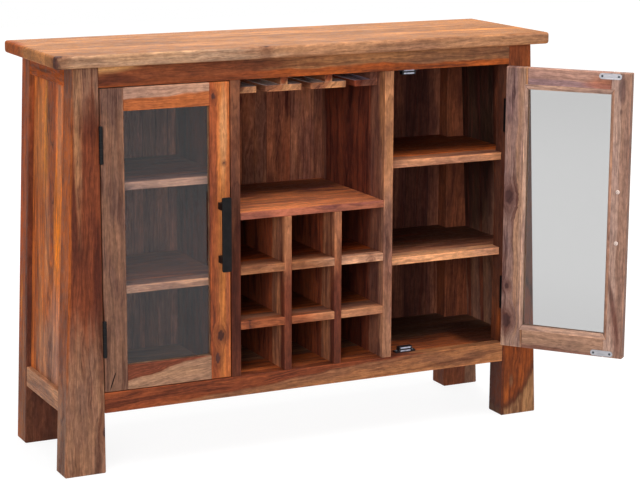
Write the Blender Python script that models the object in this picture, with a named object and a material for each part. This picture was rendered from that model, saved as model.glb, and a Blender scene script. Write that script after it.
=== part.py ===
"""Bar cabinet in solid wood, built as a joiner builds it.

Four tapered legs, tenoned rails, framed sides, a boarded back, two dividers, notched shelves,
an egg-crate bottle grid, a stemware rack, and two glazed doors on butt hinges.
Metres, +Z up, front towards -Y. The left door is shut and the right door stands open.
"""
import math

import bmesh
import bpy
from mathutils import Matrix, Vector

# Fits
GAP = 0.0003
HOUSING_DEPTH = 0.006
HOUSING_THICKNESS = 0.008
HOUSING_STOP = 0.010
EASE = 0.0012

# Bays, from the middle outwards
CENTRE_BAY_WIDTH = 0.355
SIDE_BAY_WIDTH = 0.300
DIVIDER_THICKNESS = 0.0225
CASE_DEPTH = 0.3365

# Legs: the inner faces are plumb, the outer faces flare towards the floor
LEG_HEIGHT = 0.887
LEG_TOP_WIDTH = 0.057
LEG_FOOT_WIDTH = 0.094
LEG_TOP_DEPTH = 0.052
LEG_FOOT_DEPTH = 0.059
LEG_EASE = 0.002

# Top board
TOP_THICKNESS = 0.027
TOP_OVERHANG_SIDE = 0.0405
TOP_OVERHANG_FRONT = 0.0155
TOP_OVERHANG_REAR = 0.002
TOP_EASE = 0.006

# Front rails and the floor of the case
FLOOR_LEVEL = 0.180
FLOOR_THICKNESS = 0.018
TOP_RAIL_HEIGHT = 0.0435
TOP_RAIL_DEPTH = 0.038
BOTTOM_RAIL_HEIGHT = 0.045
BOTTOM_RAIL_DEPTH = 0.030
TENON_LENGTH = 0.024
TENON_THICKNESS = 0.012
TENON_SHOULDER = 0.008

# Framed sides
SIDE_RAIL_THICKNESS = 0.022
SIDE_RAIL_SETBACK = 0.001
SIDE_TENON_LENGTH = 0.018
SIDE_TENON_THICKNESS = 0.010
SIDE_PANEL_RECESS = 0.012
SIDE_PANEL_THICKNESS = 0.010
SIDE_PANEL_TONGUE = 0.005

# Boarded back with its two rear rails
BACK_THICKNESS = 0.010
BACK_RAIL_THICKNESS = 0.014
BACK_RAIL_SETBACK = 0.001
BACK_BOARDS = 16
BACK_TONGUE_THICKNESS = 0.005
SEAM_WIDTH = 0.0030
SEAM_DEPTH = 0.0016

# Shelves and the bottle grid
SIDE_SHELF_THICKNESS = 0.017
SIDE_SHELF_COUNT = 2
SHELF_SETBACK = 0.004
CENTRE_SHELF_TOP = 0.550
CENTRE_SHELF_THICKNESS = 0.016
GRID_CELLS = 3
GRID_UPRIGHT_THICKNESS = 0.0175
GRID_SHELF_THICKNESS = 0.018

# Stemware rack
RACK_DROP = 0.079
RACK_FLANGE_THICKNESS = 0.014
RACK_FLANGE_WIDTH = 0.088
RACK_SLOT = 0.0217
RACK_WEB = 0.018
RACK_EASE = 0.003

# Doors
DOOR_GAP = 0.0024
DOOR_CLEARANCE = 0.002
DOOR_THICKNESS = 0.021
HINGE_STILE_WIDTH = 0.052
FREE_STILE_WIDTH = 0.046
DOOR_RAIL_TOP = 0.050
DOOR_RAIL_BOTTOM = 0.054
DOOR_TENON_LENGTH = 0.030
DOOR_TENON_THICKNESS = 0.007
DOOR_TENON_SHOULDER = 0.0135
DOOR_LIP = 0.008
STILE_REBATE = 0.008
RAIL_REBATE = 0.012
GLASS_THICKNESS = 0.004
GLASS_EASE = 0.0005
BEAD_CHAMFER = 0.003
BEAD_SINK = 0.0006
RIGHT_DOOR_OPEN = math.radians(129.0)

# Butt hinges, with the knuckle just in front of the door's face
HINGE_HEIGHT = 0.078
HINGE_END_MARGIN = 0.080
HINGE_KNUCKLES = 5
KNUCKLE_RADIUS = 0.0045
KNUCKLE_STANDOFF = 0.0005
KNUCKLE_TAPER = 0.0015
PIN_RADIUS = 0.0022
PIN_CLEARANCE = 0.0003
LEAF_THICKNESS = 0.0014
LEAF_WIDTH = 0.019
LEAF_SPACING = 0.0002
ROUND_SEGMENTS = 20

# Pull handles, screwed through the stile from inside
HANDLE_LENGTH = 0.165
HANDLE_WIDTH = 0.022
HANDLE_THICKNESS = 0.005
HANDLE_STANDOFF = 0.036
HANDLE_FEET_SPACING = 0.1186
HANDLE_FOOT_WIDTH = 0.012
HANDLE_FOOT_HEIGHT = 0.015
HANDLE_EDGE_DISTANCE = 0.0225
HANDLE_CORNER = 0.003
HANDLE_EASE = 0.0012
SCREW_RADIUS = 0.002
SCREW_HEAD_RADIUS = 0.004
SCREW_HEAD_THICKNESS = 0.0018
SCREW_CROWN_RADIUS = 0.0024

# Magnetic catches and the strike plates they hold
STRIKE_LENGTH = 0.053
STRIKE_HEIGHT = 0.0135
STRIKE_THICKNESS = 0.0012
STRIKE_HOLE_SPACING = 0.0385
STRIKE_HOLE_RADIUS = 0.0018
STRIKE_EDGE_DISTANCE = 0.009
CATCH_FREE_EDGE_DISTANCE = 0.048
CATCH_BODY_LENGTH = 0.034
CATCH_EAR_LENGTH = 0.052
CATCH_EAR_THICKNESS = 0.004
CATCH_HEIGHT = 0.0135
CATCH_DEPTH = 0.014
CATCH_AIR_GAP = 0.0005

# Derived places
HALF_CENTRE = CENTRE_BAY_WIDTH / 2
DIVIDER_OUTER = HALF_CENTRE + DIVIDER_THICKNESS
LEG_INNER = DIVIDER_OUTER + SIDE_BAY_WIDTH
FRONT = -CASE_DEPTH / 2
REAR = CASE_DEPTH / 2
BACK_FACE = REAR - BACK_RAIL_SETBACK - BACK_RAIL_THICKNESS
OPENING_TOP = LEG_HEIGHT - TOP_RAIL_HEIGHT
OPENING_HEIGHT = OPENING_TOP - FLOOR_LEVEL
CENTRE_SHELF_BOTTOM = CENTRE_SHELF_TOP - CENTRE_SHELF_THICKNESS
SHELF_FRONT = FRONT + DOOR_THICKNESS + SHELF_SETBACK
HALF_GAP = DOOR_GAP / 2
DOOR_WIDTH = SIDE_BAY_WIDTH - 2 * DOOR_GAP
DOOR_BOTTOM = FLOOR_LEVEL + DOOR_CLEARANCE
DOOR_HEIGHT = OPENING_HEIGHT - 2 * DOOR_CLEARANCE
PIVOT_X = LEG_INNER - HALF_GAP
PIVOT_TO_FACE = KNUCKLE_RADIUS + KNUCKLE_STANDOFF
PIVOT_Y = FRONT - PIVOT_TO_FACE
DOOR_INNER_FACE = PIVOT_TO_FACE + DOOR_THICKNESS
SIDES = (("left", -1), ("right", 1))

# Colours: base colour, roughness, metallic
FINISHES = {
    "top": ((0.62, 0.37, 0.19), 0.42, 0.0),
    "leg": ((0.33, 0.17, 0.09), 0.45, 0.0),
    "rail": ((0.42, 0.22, 0.12), 0.45, 0.0),
    "panel": ((0.45, 0.18, 0.07), 0.42, 0.0),
    "inside": ((0.22, 0.11, 0.06), 0.55, 0.0),
    "edge": ((0.40, 0.21, 0.12), 0.48, 0.0),
    "door": ((0.42, 0.22, 0.13), 0.45, 0.0),
    "bead": ((0.46, 0.26, 0.15), 0.45, 0.0),
    "glass": ((0.80, 0.82, 0.82), 0.04, 0.0),
    "iron": ((0.020, 0.019, 0.018), 0.50, 0.8),
    "plate": ((0.62, 0.63, 0.65), 0.30, 1.0),
    "catch": ((0.10, 0.09, 0.09), 0.50, 0.0),
}


def clear_scene():
    """Remove whatever the scene holds."""
    for item in list(bpy.context.scene.objects):
        bpy.data.objects.remove(item, do_unlink=True)


def make_material(name, finish):
    """Give one sub-part its own Principled material."""
    colour, roughness, metallic = FINISHES[finish]
    material = bpy.data.materials.new(name + "_finish")
    material.use_nodes = True
    shader = material.node_tree.nodes["Principled BSDF"]
    shader.inputs["Base Color"].default_value = (*colour, 1.0)
    shader.inputs["Roughness"].default_value = roughness
    shader.inputs["Metallic"].default_value = metallic
    material.diffuse_color = (*colour, 1.0)
    return material


def make_empty(name, parent, location, turn=0.0):
    """Add an empty that carries other objects."""
    empty = bpy.data.objects.new(name, None)
    bpy.context.scene.collection.objects.link(empty)
    empty.parent = parent
    empty.location = location
    empty.rotation_euler = (0.0, 0.0, turn)
    return empty


def make_object(name, form, finish, parent, location=(0.0, 0.0, 0.0), smooth=False):
    """Turn a bmesh into a named object with its own material."""
    bmesh.ops.recalc_face_normals(form, faces=form.faces)
    mesh = bpy.data.meshes.new(name)
    form.to_mesh(mesh)
    form.free()
    if smooth:
        mesh.shade_smooth()
        mesh.set_sharp_from_angle(angle=math.radians(35.0))
    item = bpy.data.objects.new(name, mesh)
    bpy.context.scene.collection.objects.link(item)
    item.parent = parent
    item.location = location
    if finish is not None:
        mesh.materials.append(make_material(name, finish))
    return item


def combine(target, form, operation):
    """Add a form to a target, or cut it out, with a Boolean whose operand stays hidden."""
    label = f"{target.name}_{operation.lower()}_{len(target.modifiers)}"
    operand = make_object(label, form, None, target.parent, target.location)
    operand.hide_render = True
    operand.display_type = "WIRE"
    modifier = target.modifiers.new(label, "BOOLEAN")
    modifier.operation = operation
    modifier.solver = "EXACT"
    modifier.object = operand


def add_box(form, low, high):
    """Add a closed box between two corners."""
    low = Vector(low)
    high = Vector(high)
    size = high - low
    place = Matrix.Translation((low + high) / 2) @ Matrix.Diagonal((*size, 1.0))
    bmesh.ops.create_cube(form, size=1.0, matrix=place)


def add_layers(form, layers):
    """Add a closed body that runs through outlines with the same number of corners."""
    rings = [[form.verts.new(corner) for corner in layer] for layer in layers]
    count = len(rings[0])
    for lower, upper in zip(rings, rings[1:]):
        for index in range(count):
            after = (index + 1) % count
            form.faces.new((lower[index], lower[after], upper[after], upper[index]))
    form.faces.new(list(reversed(rings[0])))
    form.faces.new(rings[-1])


def add_prism(form, outline, axis, start, end):
    """Extrude a flat outline along X, Y or Z; the outline holds the other two coordinates."""
    def placed(pair, level):
        values = list(pair)
        values.insert("XYZ".index(axis), level)
        return values
    add_layers(form, [[placed(pair, level) for pair in outline] for level in (start, end)])


def add_rod(form, radius, start, end, segments=ROUND_SEGMENTS):
    """Add a closed round rod between two points."""
    start = Vector(start)
    end = Vector(end)
    direction = end - start
    turn = direction.to_track_quat("Z", "Y").to_matrix().to_4x4()
    place = Matrix.Translation((start + end) / 2) @ turn
    bmesh.ops.create_cone(
        form, cap_ends=True, segments=segments, radius1=radius, radius2=radius,
        depth=direction.length, matrix=place)


def add_turned(form, profile, closed=False):
    """Turn a profile of (radius, height) pairs round the Z axis; closed makes a ring."""
    rings = []
    for radius, height in profile:
        ring = []
        for index in range(ROUND_SEGMENTS):
            angle = 2 * math.pi * index / ROUND_SEGMENTS
            ring.append(form.verts.new((radius * math.cos(angle), radius * math.sin(angle), height)))
        rings.append(ring)
    pairs = list(zip(rings, rings[1:]))
    if closed:
        pairs.append((rings[-1], rings[0]))
    for lower, upper in pairs:
        for index in range(ROUND_SEGMENTS):
            after = (index + 1) % ROUND_SEGMENTS
            form.faces.new((lower[index], lower[after], upper[after], upper[index]))
    if not closed:
        form.faces.new(list(reversed(rings[0])))
        form.faces.new(rings[-1])


def ease_edges(form, width, segments=1, wanted=None):
    """Round over the edges of a form, or only the wanted ones."""
    edges = [edge for edge in form.edges if wanted is None or wanted(edge)]
    bmesh.ops.bevel(
        form, geom=edges, offset=width, offset_type="OFFSET", segments=segments,
        profile=0.5, affect="EDGES", clamp_overlap=True)


def boxes(*corners):
    """Return one form that holds several separate boxes."""
    form = bmesh.new()
    for low, high in corners:
        add_box(form, low, high)
    return form


def grown(corners, by=GAP):
    """Grow a box by a clearance on every side."""
    low, high = corners
    return ([value - by for value in low], [value + by for value in high])


def mirrored(sign, low, high):
    """Mirror a box of positive x onto the side that sign names."""
    ends = sorted((sign * low[0], sign * high[0]))
    return ((ends[0], low[1], low[2]), (ends[1], high[1], high[2]))


def eased_board(name, corners, finish, parent, width=EASE, segments=1):
    """Make a board between two corners, with its edges eased and its origin at its middle."""
    low, high = (Vector(corner) for corner in corners)
    middle = (low + high) / 2
    form = bmesh.new()
    add_box(form, low - middle, high - middle)
    ease_edges(form, width, segments)
    return make_object(name, form, finish, parent, middle)


def moved_boxes(target, corners_list):
    """Return boxes given in the case's frame, as seen from a board's own origin."""
    origin = target.location
    shifted = [
        ([a - b for a, b in zip(low, origin)], [a - b for a, b in zip(high, origin)])
        for low, high in corners_list
    ]
    return boxes(*shifted)


def leg_outer(height):
    """Distance of a leg's flared outer face from the middle of the case."""
    width = LEG_FOOT_WIDTH + (LEG_TOP_WIDTH - LEG_FOOT_WIDTH) * height / LEG_HEIGHT
    return LEG_INNER + width


def leg_depth(height):
    """Depth of a leg, front to rear, at one height."""
    return LEG_FOOT_DEPTH + (LEG_TOP_DEPTH - LEG_FOOT_DEPTH) * height / LEG_HEIGHT


def even_levels(bottom, top, thickness, count):
    """Undersides of boards that divide a height into equal spaces."""
    clear = (top - bottom - count * thickness) / (count + 1)
    return [bottom + (index + 1) * clear + index * thickness for index in range(count)]


def rail_tenons(depth, low_z, high_z):
    """Tenons of a front rail, one at each end, as boxes."""
    middle = FRONT + depth / 2
    low = (LEG_INNER - TENON_SHOULDER, middle - TENON_THICKNESS / 2, low_z + TENON_SHOULDER)
    high = (LEG_INNER + TENON_LENGTH, middle + TENON_THICKNESS / 2, high_z - TENON_SHOULDER)
    return {name: mirrored(sign, low, high) for name, sign in SIDES}


def side_rail_tenons(low_z, high_z, sign):
    """Tenons of a side rail, towards the front leg and the rear leg."""
    level = (low_z + high_z) / 2
    centre = leg_outer(level) - SIDE_RAIL_SETBACK - SIDE_RAIL_THICKNESS / 2
    shoulder = FRONT + leg_depth(level)
    low_x = centre - SIDE_TENON_THICKNESS / 2
    high_x = centre + SIDE_TENON_THICKNESS / 2
    low_z += TENON_SHOULDER
    high_z -= TENON_SHOULDER
    front = ((low_x, shoulder - SIDE_TENON_LENGTH, low_z), (high_x, shoulder + TENON_SHOULDER, high_z))
    rear = ((low_x, -front[1][1], low_z), (high_x, -front[0][1], high_z))
    return {"front": mirrored(sign, *front), "rear": mirrored(sign, *rear)}


def side_panel_layers(sign, by=0.0):
    """Outlines of a side panel with its tongues, or of its groove when grown."""
    layers = []
    low = FLOOR_LEVEL - SIDE_PANEL_TONGUE - by
    high = OPENING_TOP + SIDE_PANEL_TONGUE + by
    for height in (low, high):
        outer = leg_outer(height) - SIDE_PANEL_RECESS + by
        inner = outer - SIDE_PANEL_THICKNESS - 2 * by
        reach = -FRONT - leg_depth(height) + SIDE_PANEL_TONGUE + by
        layers.append([
            (sign * inner, -reach, height), (sign * outer, -reach, height),
            (sign * outer, reach, height), (sign * inner, reach, height)])
    return layers


def side_shelf_bottoms():
    """Undersides of the shelves in a side bay."""
    return even_levels(FLOOR_LEVEL, OPENING_TOP, SIDE_SHELF_THICKNESS, SIDE_SHELF_COUNT)


def grid_shelf_bottoms():
    """Undersides of the two boards that lie across the bottle grid."""
    return even_levels(FLOOR_LEVEL, CENTRE_SHELF_BOTTOM, GRID_SHELF_THICKNESS, GRID_CELLS - 1)


def grid_upright_lefts():
    """Left faces of the two upright boards of the bottle grid."""
    return even_levels(-HALF_CENTRE, HALF_CENTRE, GRID_UPRIGHT_THICKNESS, GRID_CELLS - 1)


def housing(low_x, high_x, bottom, thickness, front, rear):
    """Stub tongue on a shelf's end, as a box; grown, it is the housing cut for it."""
    middle = bottom + thickness / 2
    low = (low_x, front, middle - HOUSING_THICKNESS / 2)
    high = (high_x, rear, middle + HOUSING_THICKNESS / 2)
    return (low, high)


def divider_housing(bottom, thickness, face, towards, front=SHELF_FRONT):
    """Tongue that enters a divider's face; towards is +1 or -1, out of the shelf's end."""
    ends = sorted((face - towards * HOUSING_DEPTH, face + towards * HOUSING_DEPTH))
    return housing(ends[0], ends[1], bottom, thickness, front + HOUSING_STOP, BACK_FACE - HOUSING_STOP)


def leg_housings(sign, bottom):
    """Tongues of a side shelf that enter the front leg and the rear leg."""
    depth = leg_depth(bottom)
    stop = HOUSING_STOP / 2
    front = housing(
        LEG_INNER - HOUSING_DEPTH, LEG_INNER + HOUSING_DEPTH, bottom, SIDE_SHELF_THICKNESS,
        SHELF_FRONT + stop, FRONT + depth - stop)
    rear = housing(
        LEG_INNER - HOUSING_DEPTH, LEG_INNER + HOUSING_DEPTH, bottom, SIDE_SHELF_THICKNESS,
        REAR - depth + stop, BACK_FACE - stop)
    return {"front": mirrored(sign, *front), "rear": mirrored(sign, *rear)}


def hinge_bottoms():
    """Lower ends of a door's two hinges, above the door's lower edge."""
    return {
        "lower": HINGE_END_MARGIN,
        "upper": DOOR_HEIGHT - HINGE_END_MARGIN - HINGE_HEIGHT,
    }


def leaf_recess(side, bottom):
    """Shallow mortise for a hinge leaf, seen from the pivot; side is the sign of x."""
    reach = LEAF_SPACING + LEAF_THICKNESS + GAP
    near = HALF_GAP - GAP
    low = (min(side * near, side * reach), 0.0, bottom - GAP)
    high = (max(side * near, side * reach), PIVOT_TO_FACE + LEAF_WIDTH + GAP, bottom + HINGE_HEIGHT + GAP)
    return (low, high)


def back_tongue(sign, by=0.0):
    """Tongue along the back's edge that a rear leg's groove holds."""
    low = (LEG_INNER - HOUSING_DEPTH - by, BACK_FACE + (BACK_THICKNESS - BACK_TONGUE_THICKNESS) / 2 - by,
           FLOOR_LEVEL - BOTTOM_RAIL_HEIGHT + HOUSING_STOP - by)
    high = (LEG_INNER + HOUSING_DEPTH + by, BACK_FACE + (BACK_THICKNESS + BACK_TONGUE_THICKNESS) / 2 + by,
            LEG_HEIGHT - HOUSING_STOP + by)
    return mirrored(sign, low, high)


def floor_tongue(face, towards):
    """Tongue along the floor's front or rear edge that a rail's groove holds."""
    ends = sorted((face - towards * HOUSING_DEPTH, face + towards * HOUSING_DEPTH))
    middle = FLOOR_LEVEL - FLOOR_THICKNESS / 2
    reach = LEG_INNER - HOUSING_STOP
    low = (-reach, ends[0], middle - HOUSING_THICKNESS / 2)
    high = (reach, ends[1], middle + HOUSING_THICKNESS / 2)
    return (low, high)


def build_top(case):
    """The board that covers the case and overhangs it."""
    reach = LEG_INNER + LEG_TOP_WIDTH + TOP_OVERHANG_SIDE
    low = (-reach, FRONT - TOP_OVERHANG_FRONT, LEG_HEIGHT + GAP)
    high = (reach, REAR + TOP_OVERHANG_REAR, LEG_HEIGHT + GAP + TOP_THICKNESS)
    eased_board("top_board", (low, high), "top", case, TOP_EASE, 3)


def build_leg(case, end, side, sign):
    """One tapered leg with its mortises, panel groove and shelf housings."""
    layers = []
    for height in (0.0, LEG_HEIGHT):
        inner = sign * LEG_INNER
        outer = sign * leg_outer(height)
        if end == "front":
            near, far = FRONT, FRONT + leg_depth(height)
        else:
            near, far = REAR - leg_depth(height), REAR
        layers.append([
            (inner, near, height), (outer, near, height), (outer, far, height), (inner, far, height)])
    form = bmesh.new()
    add_layers(form, layers)
    ease_edges(form, LEG_EASE)
    leg = make_object(f"leg_{end}_{side}", form, "leg", case)
    cuts = []
    for low_z, high_z in ((FLOOR_LEVEL - BOTTOM_RAIL_HEIGHT, FLOOR_LEVEL), (OPENING_TOP, LEG_HEIGHT)):
        cuts.append(grown(side_rail_tenons(low_z, high_z, sign)[end]))
        if end == "front":
            depth = BOTTOM_RAIL_DEPTH if high_z < LEG_HEIGHT else TOP_RAIL_DEPTH
            cuts.append(grown(rail_tenons(depth, low_z, high_z)[side]))
    for bottom in side_shelf_bottoms():
        cuts.append(grown(leg_housings(sign, bottom)[end]))
    if end == "rear":
        cuts.append(back_tongue(sign, GAP))
    combine(leg, boxes(*cuts), "DIFFERENCE")
    groove = bmesh.new()
    add_layers(groove, side_panel_layers(sign, GAP))
    combine(leg, groove, "DIFFERENCE")
    if end == "front":
        recesses = []
        for bottom in hinge_bottoms().values():
            low, high = leaf_recess(sign, bottom)
            place = (sign * PIVOT_X, PIVOT_Y, DOOR_BOTTOM)
            recesses.append(([a + b for a, b in zip(low, place)], [a + b for a, b in zip(high, place)]))
        combine(leg, boxes(*recesses), "DIFFERENCE")


def build_front_rails(case):
    """The upper and lower front rails, tenoned into the front legs."""
    reach = LEG_INNER - GAP
    lower = (FLOOR_LEVEL - BOTTOM_RAIL_HEIGHT, FLOOR_LEVEL)
    rails = (("front_rail_top", TOP_RAIL_DEPTH, (OPENING_TOP, LEG_HEIGHT)),
             ("front_rail_bottom", BOTTOM_RAIL_DEPTH, lower))
    for name, depth, (low_z, high_z) in rails:
        corners = ((-reach, FRONT, low_z), (reach, FRONT + depth, high_z))
        rail = eased_board(name, corners, "rail", case)
        tenons = rail_tenons(depth, low_z, high_z).values()
        combine(rail, moved_boxes(rail, tenons), "UNION")
        if name == "front_rail_bottom":
            groove = grown(floor_tongue(FRONT + depth, -1))
            combine(rail, moved_boxes(rail, [groove]), "DIFFERENCE")


def build_side(case, side, sign):
    """A framed side: two rails between the legs and a panel in their grooves."""
    rails = (("top", OPENING_TOP, LEG_HEIGHT),
             ("bottom", FLOOR_LEVEL - BOTTOM_RAIL_HEIGHT, FLOOR_LEVEL))
    for label, low_z, high_z in rails:
        layers = []
        for height in (low_z, high_z):
            outer = leg_outer(height) - SIDE_RAIL_SETBACK
            inner = outer - SIDE_RAIL_THICKNESS
            reach = -FRONT - leg_depth(height) - GAP
            layers.append([
                (sign * inner, -reach, height), (sign * outer, -reach, height),
                (sign * outer, reach, height), (sign * inner, reach, height)])
        form = bmesh.new()
        add_layers(form, layers)
        ease_edges(form, EASE)
        rail = make_object(f"side_rail_{label}_{side}", form, "rail", case)
        combine(rail, boxes(*side_rail_tenons(low_z, high_z, sign).values()), "UNION")
        groove = bmesh.new()
        add_layers(groove, side_panel_layers(sign, GAP))
        combine(rail, groove, "DIFFERENCE")
    form = bmesh.new()
    add_layers(form, side_panel_layers(sign))
    make_object(f"side_panel_{side}", form, "panel", case)


def build_back(case):
    """The boarded back with its rear rails, housed in the rear legs."""
    bottom = FLOOR_LEVEL - BOTTOM_RAIL_HEIGHT
    panel_rear = BACK_FACE + BACK_THICKNESS
    rail_rear = BACK_FACE + BACK_RAIL_THICKNESS
    outline = [
        (BACK_FACE, bottom), (rail_rear, bottom), (rail_rear, FLOOR_LEVEL), (panel_rear, FLOOR_LEVEL),
        (panel_rear, OPENING_TOP), (rail_rear, OPENING_TOP), (rail_rear, LEG_HEIGHT),
        (BACK_FACE, LEG_HEIGHT)]
    reach = LEG_INNER - GAP
    form = bmesh.new()
    add_prism(form, outline, "X", -reach, reach)
    back = make_object("back_boards", form, "inside", case)
    combine(back, boxes(*(back_tongue(sign) for _, sign in SIDES)), "UNION")
    seams = bmesh.new()
    board = 2 * LEG_INNER / BACK_BOARDS
    overshoot = SEAM_DEPTH / 2
    half = SEAM_WIDTH / 2 * (1 + overshoot / SEAM_DEPTH)
    for index in range(1, BACK_BOARDS):
        x = -LEG_INNER + index * board
        level = BACK_FACE - overshoot
        inner = [(x - half, level), (x + half, level), (x, BACK_FACE + SEAM_DEPTH)]
        add_prism(seams, inner, "Z", FLOOR_LEVEL, LEG_HEIGHT + overshoot)
        level = panel_rear + overshoot
        outer = [(x - half, level), (x, panel_rear - SEAM_DEPTH), (x + half, level)]
        add_prism(seams, outer, "Z", FLOOR_LEVEL + SEAM_WIDTH, OPENING_TOP - SEAM_WIDTH)
    combine(back, seams, "DIFFERENCE")
    combine(back, boxes(grown(floor_tongue(BACK_FACE, 1))), "DIFFERENCE")


def build_floor(case):
    """The floor board, notched round the legs and tongued into the rails."""
    front = FRONT + BOTTOM_RAIL_DEPTH + GAP
    rear = BACK_FACE - GAP
    narrow = LEG_INNER - GAP
    layers = []
    for height in (FLOOR_LEVEL - FLOOR_THICKNESS, FLOOR_LEVEL):
        wide = leg_outer(height) - SIDE_RAIL_SETBACK - SIDE_RAIL_THICKNESS - GAP
        near = FRONT + leg_depth(height) + GAP
        far = REAR - leg_depth(height) - GAP
        half = [(narrow, front), (narrow, near), (wide, near), (wide, far), (narrow, far), (narrow, rear)]
        outline = half + [(-x, y) for x, y in reversed(half)]
        layers.append([(x, y, height) for x, y in outline])
    form = bmesh.new()
    add_layers(form, layers)
    floor = make_object("floor_board", form, "inside", case)
    tongues = (floor_tongue(FRONT + BOTTOM_RAIL_DEPTH, -1), floor_tongue(BACK_FACE, 1))
    combine(floor, boxes(*tongues), "UNION")


def build_divider(case, side, sign):
    """An upright divider, notched round the top rail and housed for its shelves."""
    rear = BACK_FACE - GAP
    notch = FRONT + TOP_RAIL_DEPTH + GAP
    outline = [
        (FRONT, FLOOR_LEVEL + GAP), (rear, FLOOR_LEVEL + GAP), (rear, LEG_HEIGHT),
        (notch, LEG_HEIGHT), (notch, OPENING_TOP - GAP), (FRONT, OPENING_TOP - GAP)]
    start, end = sorted((sign * HALF_CENTRE, sign * DIVIDER_OUTER))
    form = bmesh.new()
    add_prism(form, outline, "X", start, end)

    def on_front(edge):
        return all(abs(corner.co.y - FRONT) < GAP for corner in edge.verts)
    ease_edges(form, EASE, 1, on_front)
    divider = make_object(f"divider_{side}", form, "edge", case)
    inner = sign * HALF_CENTRE
    outer = sign * DIVIDER_OUTER
    cuts = [divider_housing(CENTRE_SHELF_BOTTOM, CENTRE_SHELF_THICKNESS, inner, sign, FRONT)]
    for bottom in grid_shelf_bottoms():
        cuts.append(divider_housing(bottom, GRID_SHELF_THICKNESS, inner, sign, FRONT))
    for bottom in side_shelf_bottoms():
        cuts.append(divider_housing(bottom, SIDE_SHELF_THICKNESS, outer, -sign))
    combine(divider, boxes(*(grown(cut) for cut in cuts)), "DIFFERENCE")


def build_side_shelves(case, side, sign):
    """Shelves of a side bay, notched round the legs and reaching the side panel."""
    inner = DIVIDER_OUTER + GAP
    narrow = LEG_INNER - GAP
    rear = BACK_FACE - GAP
    for label, bottom in zip(("lower", "upper"), side_shelf_bottoms()):
        layers = []
        for height in (bottom, bottom + SIDE_SHELF_THICKNESS):
            wide = leg_outer(height) - SIDE_PANEL_RECESS - SIDE_PANEL_THICKNESS - GAP
            near = FRONT + leg_depth(height) + GAP
            far = REAR - leg_depth(height) - GAP
            outline = [
                (inner, SHELF_FRONT), (narrow, SHELF_FRONT), (narrow, near), (wide, near),
                (wide, far), (narrow, far), (narrow, rear), (inner, rear)]
            layers.append([(sign * x, y, height) for x, y in outline])
        form = bmesh.new()
        add_layers(form, layers)

        def on_front(edge):
            return all(abs(corner.co.y - SHELF_FRONT) < GAP for corner in edge.verts)
        ease_edges(form, EASE, 1, on_front)
        shelf = make_object(f"shelf_{side}_{label}", form, "edge", case)
        tongues = list(leg_housings(sign, bottom).values())
        tongues.append(divider_housing(bottom, SIDE_SHELF_THICKNESS, sign * DIVIDER_OUTER, -sign))
        combine(shelf, boxes(*tongues), "UNION")


def housed_board(case, name, bottom, thickness):
    """A board across the centre bay, housed in both dividers."""
    reach = HALF_CENTRE - GAP
    corners = ((-reach, FRONT, bottom), (reach, BACK_FACE - GAP, bottom + thickness))
    board = eased_board(name, corners, "edge", case)
    tongues = [divider_housing(bottom, thickness, sign * HALF_CENTRE, sign, FRONT) for _, sign in SIDES]
    combine(board, moved_boxes(board, tongues), "UNION")
    return board


def build_bottle_grid(case):
    """Uprights and cross boards that halve into each other like an egg crate."""
    middle = (FRONT + BACK_FACE) / 2
    clear = BACK_FACE - FRONT
    crossings = [(low - GAP, low + GRID_SHELF_THICKNESS + GAP) for low in grid_shelf_bottoms()]
    passes = [(low - GAP, low + GRID_UPRIGHT_THICKNESS + GAP) for low in grid_upright_lefts()]
    for label, left in zip(("left", "right"), grid_upright_lefts()):
        right = left + GRID_UPRIGHT_THICKNESS
        corners = ((left, FRONT, FLOOR_LEVEL + GAP), (right, BACK_FACE - GAP, CENTRE_SHELF_BOTTOM - GAP))
        upright = eased_board(f"bottle_upright_{label}", corners, "edge", case)
        slots = [
            ((left - GAP, middle - GAP / 2, low), (right + GAP, middle + clear, high))
            for low, high in crossings]
        combine(upright, moved_boxes(upright, slots), "DIFFERENCE")
    for label, bottom in zip(("lower", "upper"), grid_shelf_bottoms()):
        board = housed_board(case, f"bottle_shelf_{label}", bottom, GRID_SHELF_THICKNESS)
        top = bottom + GRID_SHELF_THICKNESS
        slots = [
            ((low, middle - clear, bottom - GAP), (high, middle + GAP / 2, top + GAP))
            for low, high in passes]
        combine(board, moved_boxes(board, slots), "DIFFERENCE")


def build_glass_rails(case):
    """Rails of the stemware rack, hung from the top board: two tees between two half rails."""
    low = LEG_HEIGHT - RACK_DROP
    ledge = low + RACK_FLANGE_THICKNESS
    half_width = (CENTRE_BAY_WIDTH - 2 * RACK_FLANGE_WIDTH - 3 * RACK_SLOT) / 2
    start = FRONT + TOP_RAIL_DEPTH + GAP
    end = BACK_FACE - GAP
    tee_centre = (RACK_SLOT + RACK_FLANGE_WIDTH) / 2
    for label, sign in SIDES:
        centre = sign * tee_centre
        flange = RACK_FLANGE_WIDTH / 2
        web = RACK_WEB / 2
        outline = [
            (centre - flange, low), (centre + flange, low), (centre + flange, ledge), (centre + web, ledge),
            (centre + web, LEG_HEIGHT), (centre - web, LEG_HEIGHT), (centre - web, ledge),
            (centre - flange, ledge)]
        add_rack_rail(case, f"glass_rail_tee_{label}", outline, start, end)
        wall = sign * (HALF_CENTRE - GAP)
        inner = sign * (HALF_CENTRE - half_width)
        root = sign * (HALF_CENTRE - RACK_WEB)
        outline = [
            (wall, low), (inner, low), (inner, ledge), (root, ledge), (root, LEG_HEIGHT),
            (wall, LEG_HEIGHT)]
        add_rack_rail(case, f"glass_rail_half_{label}", outline, start, end)


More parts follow.
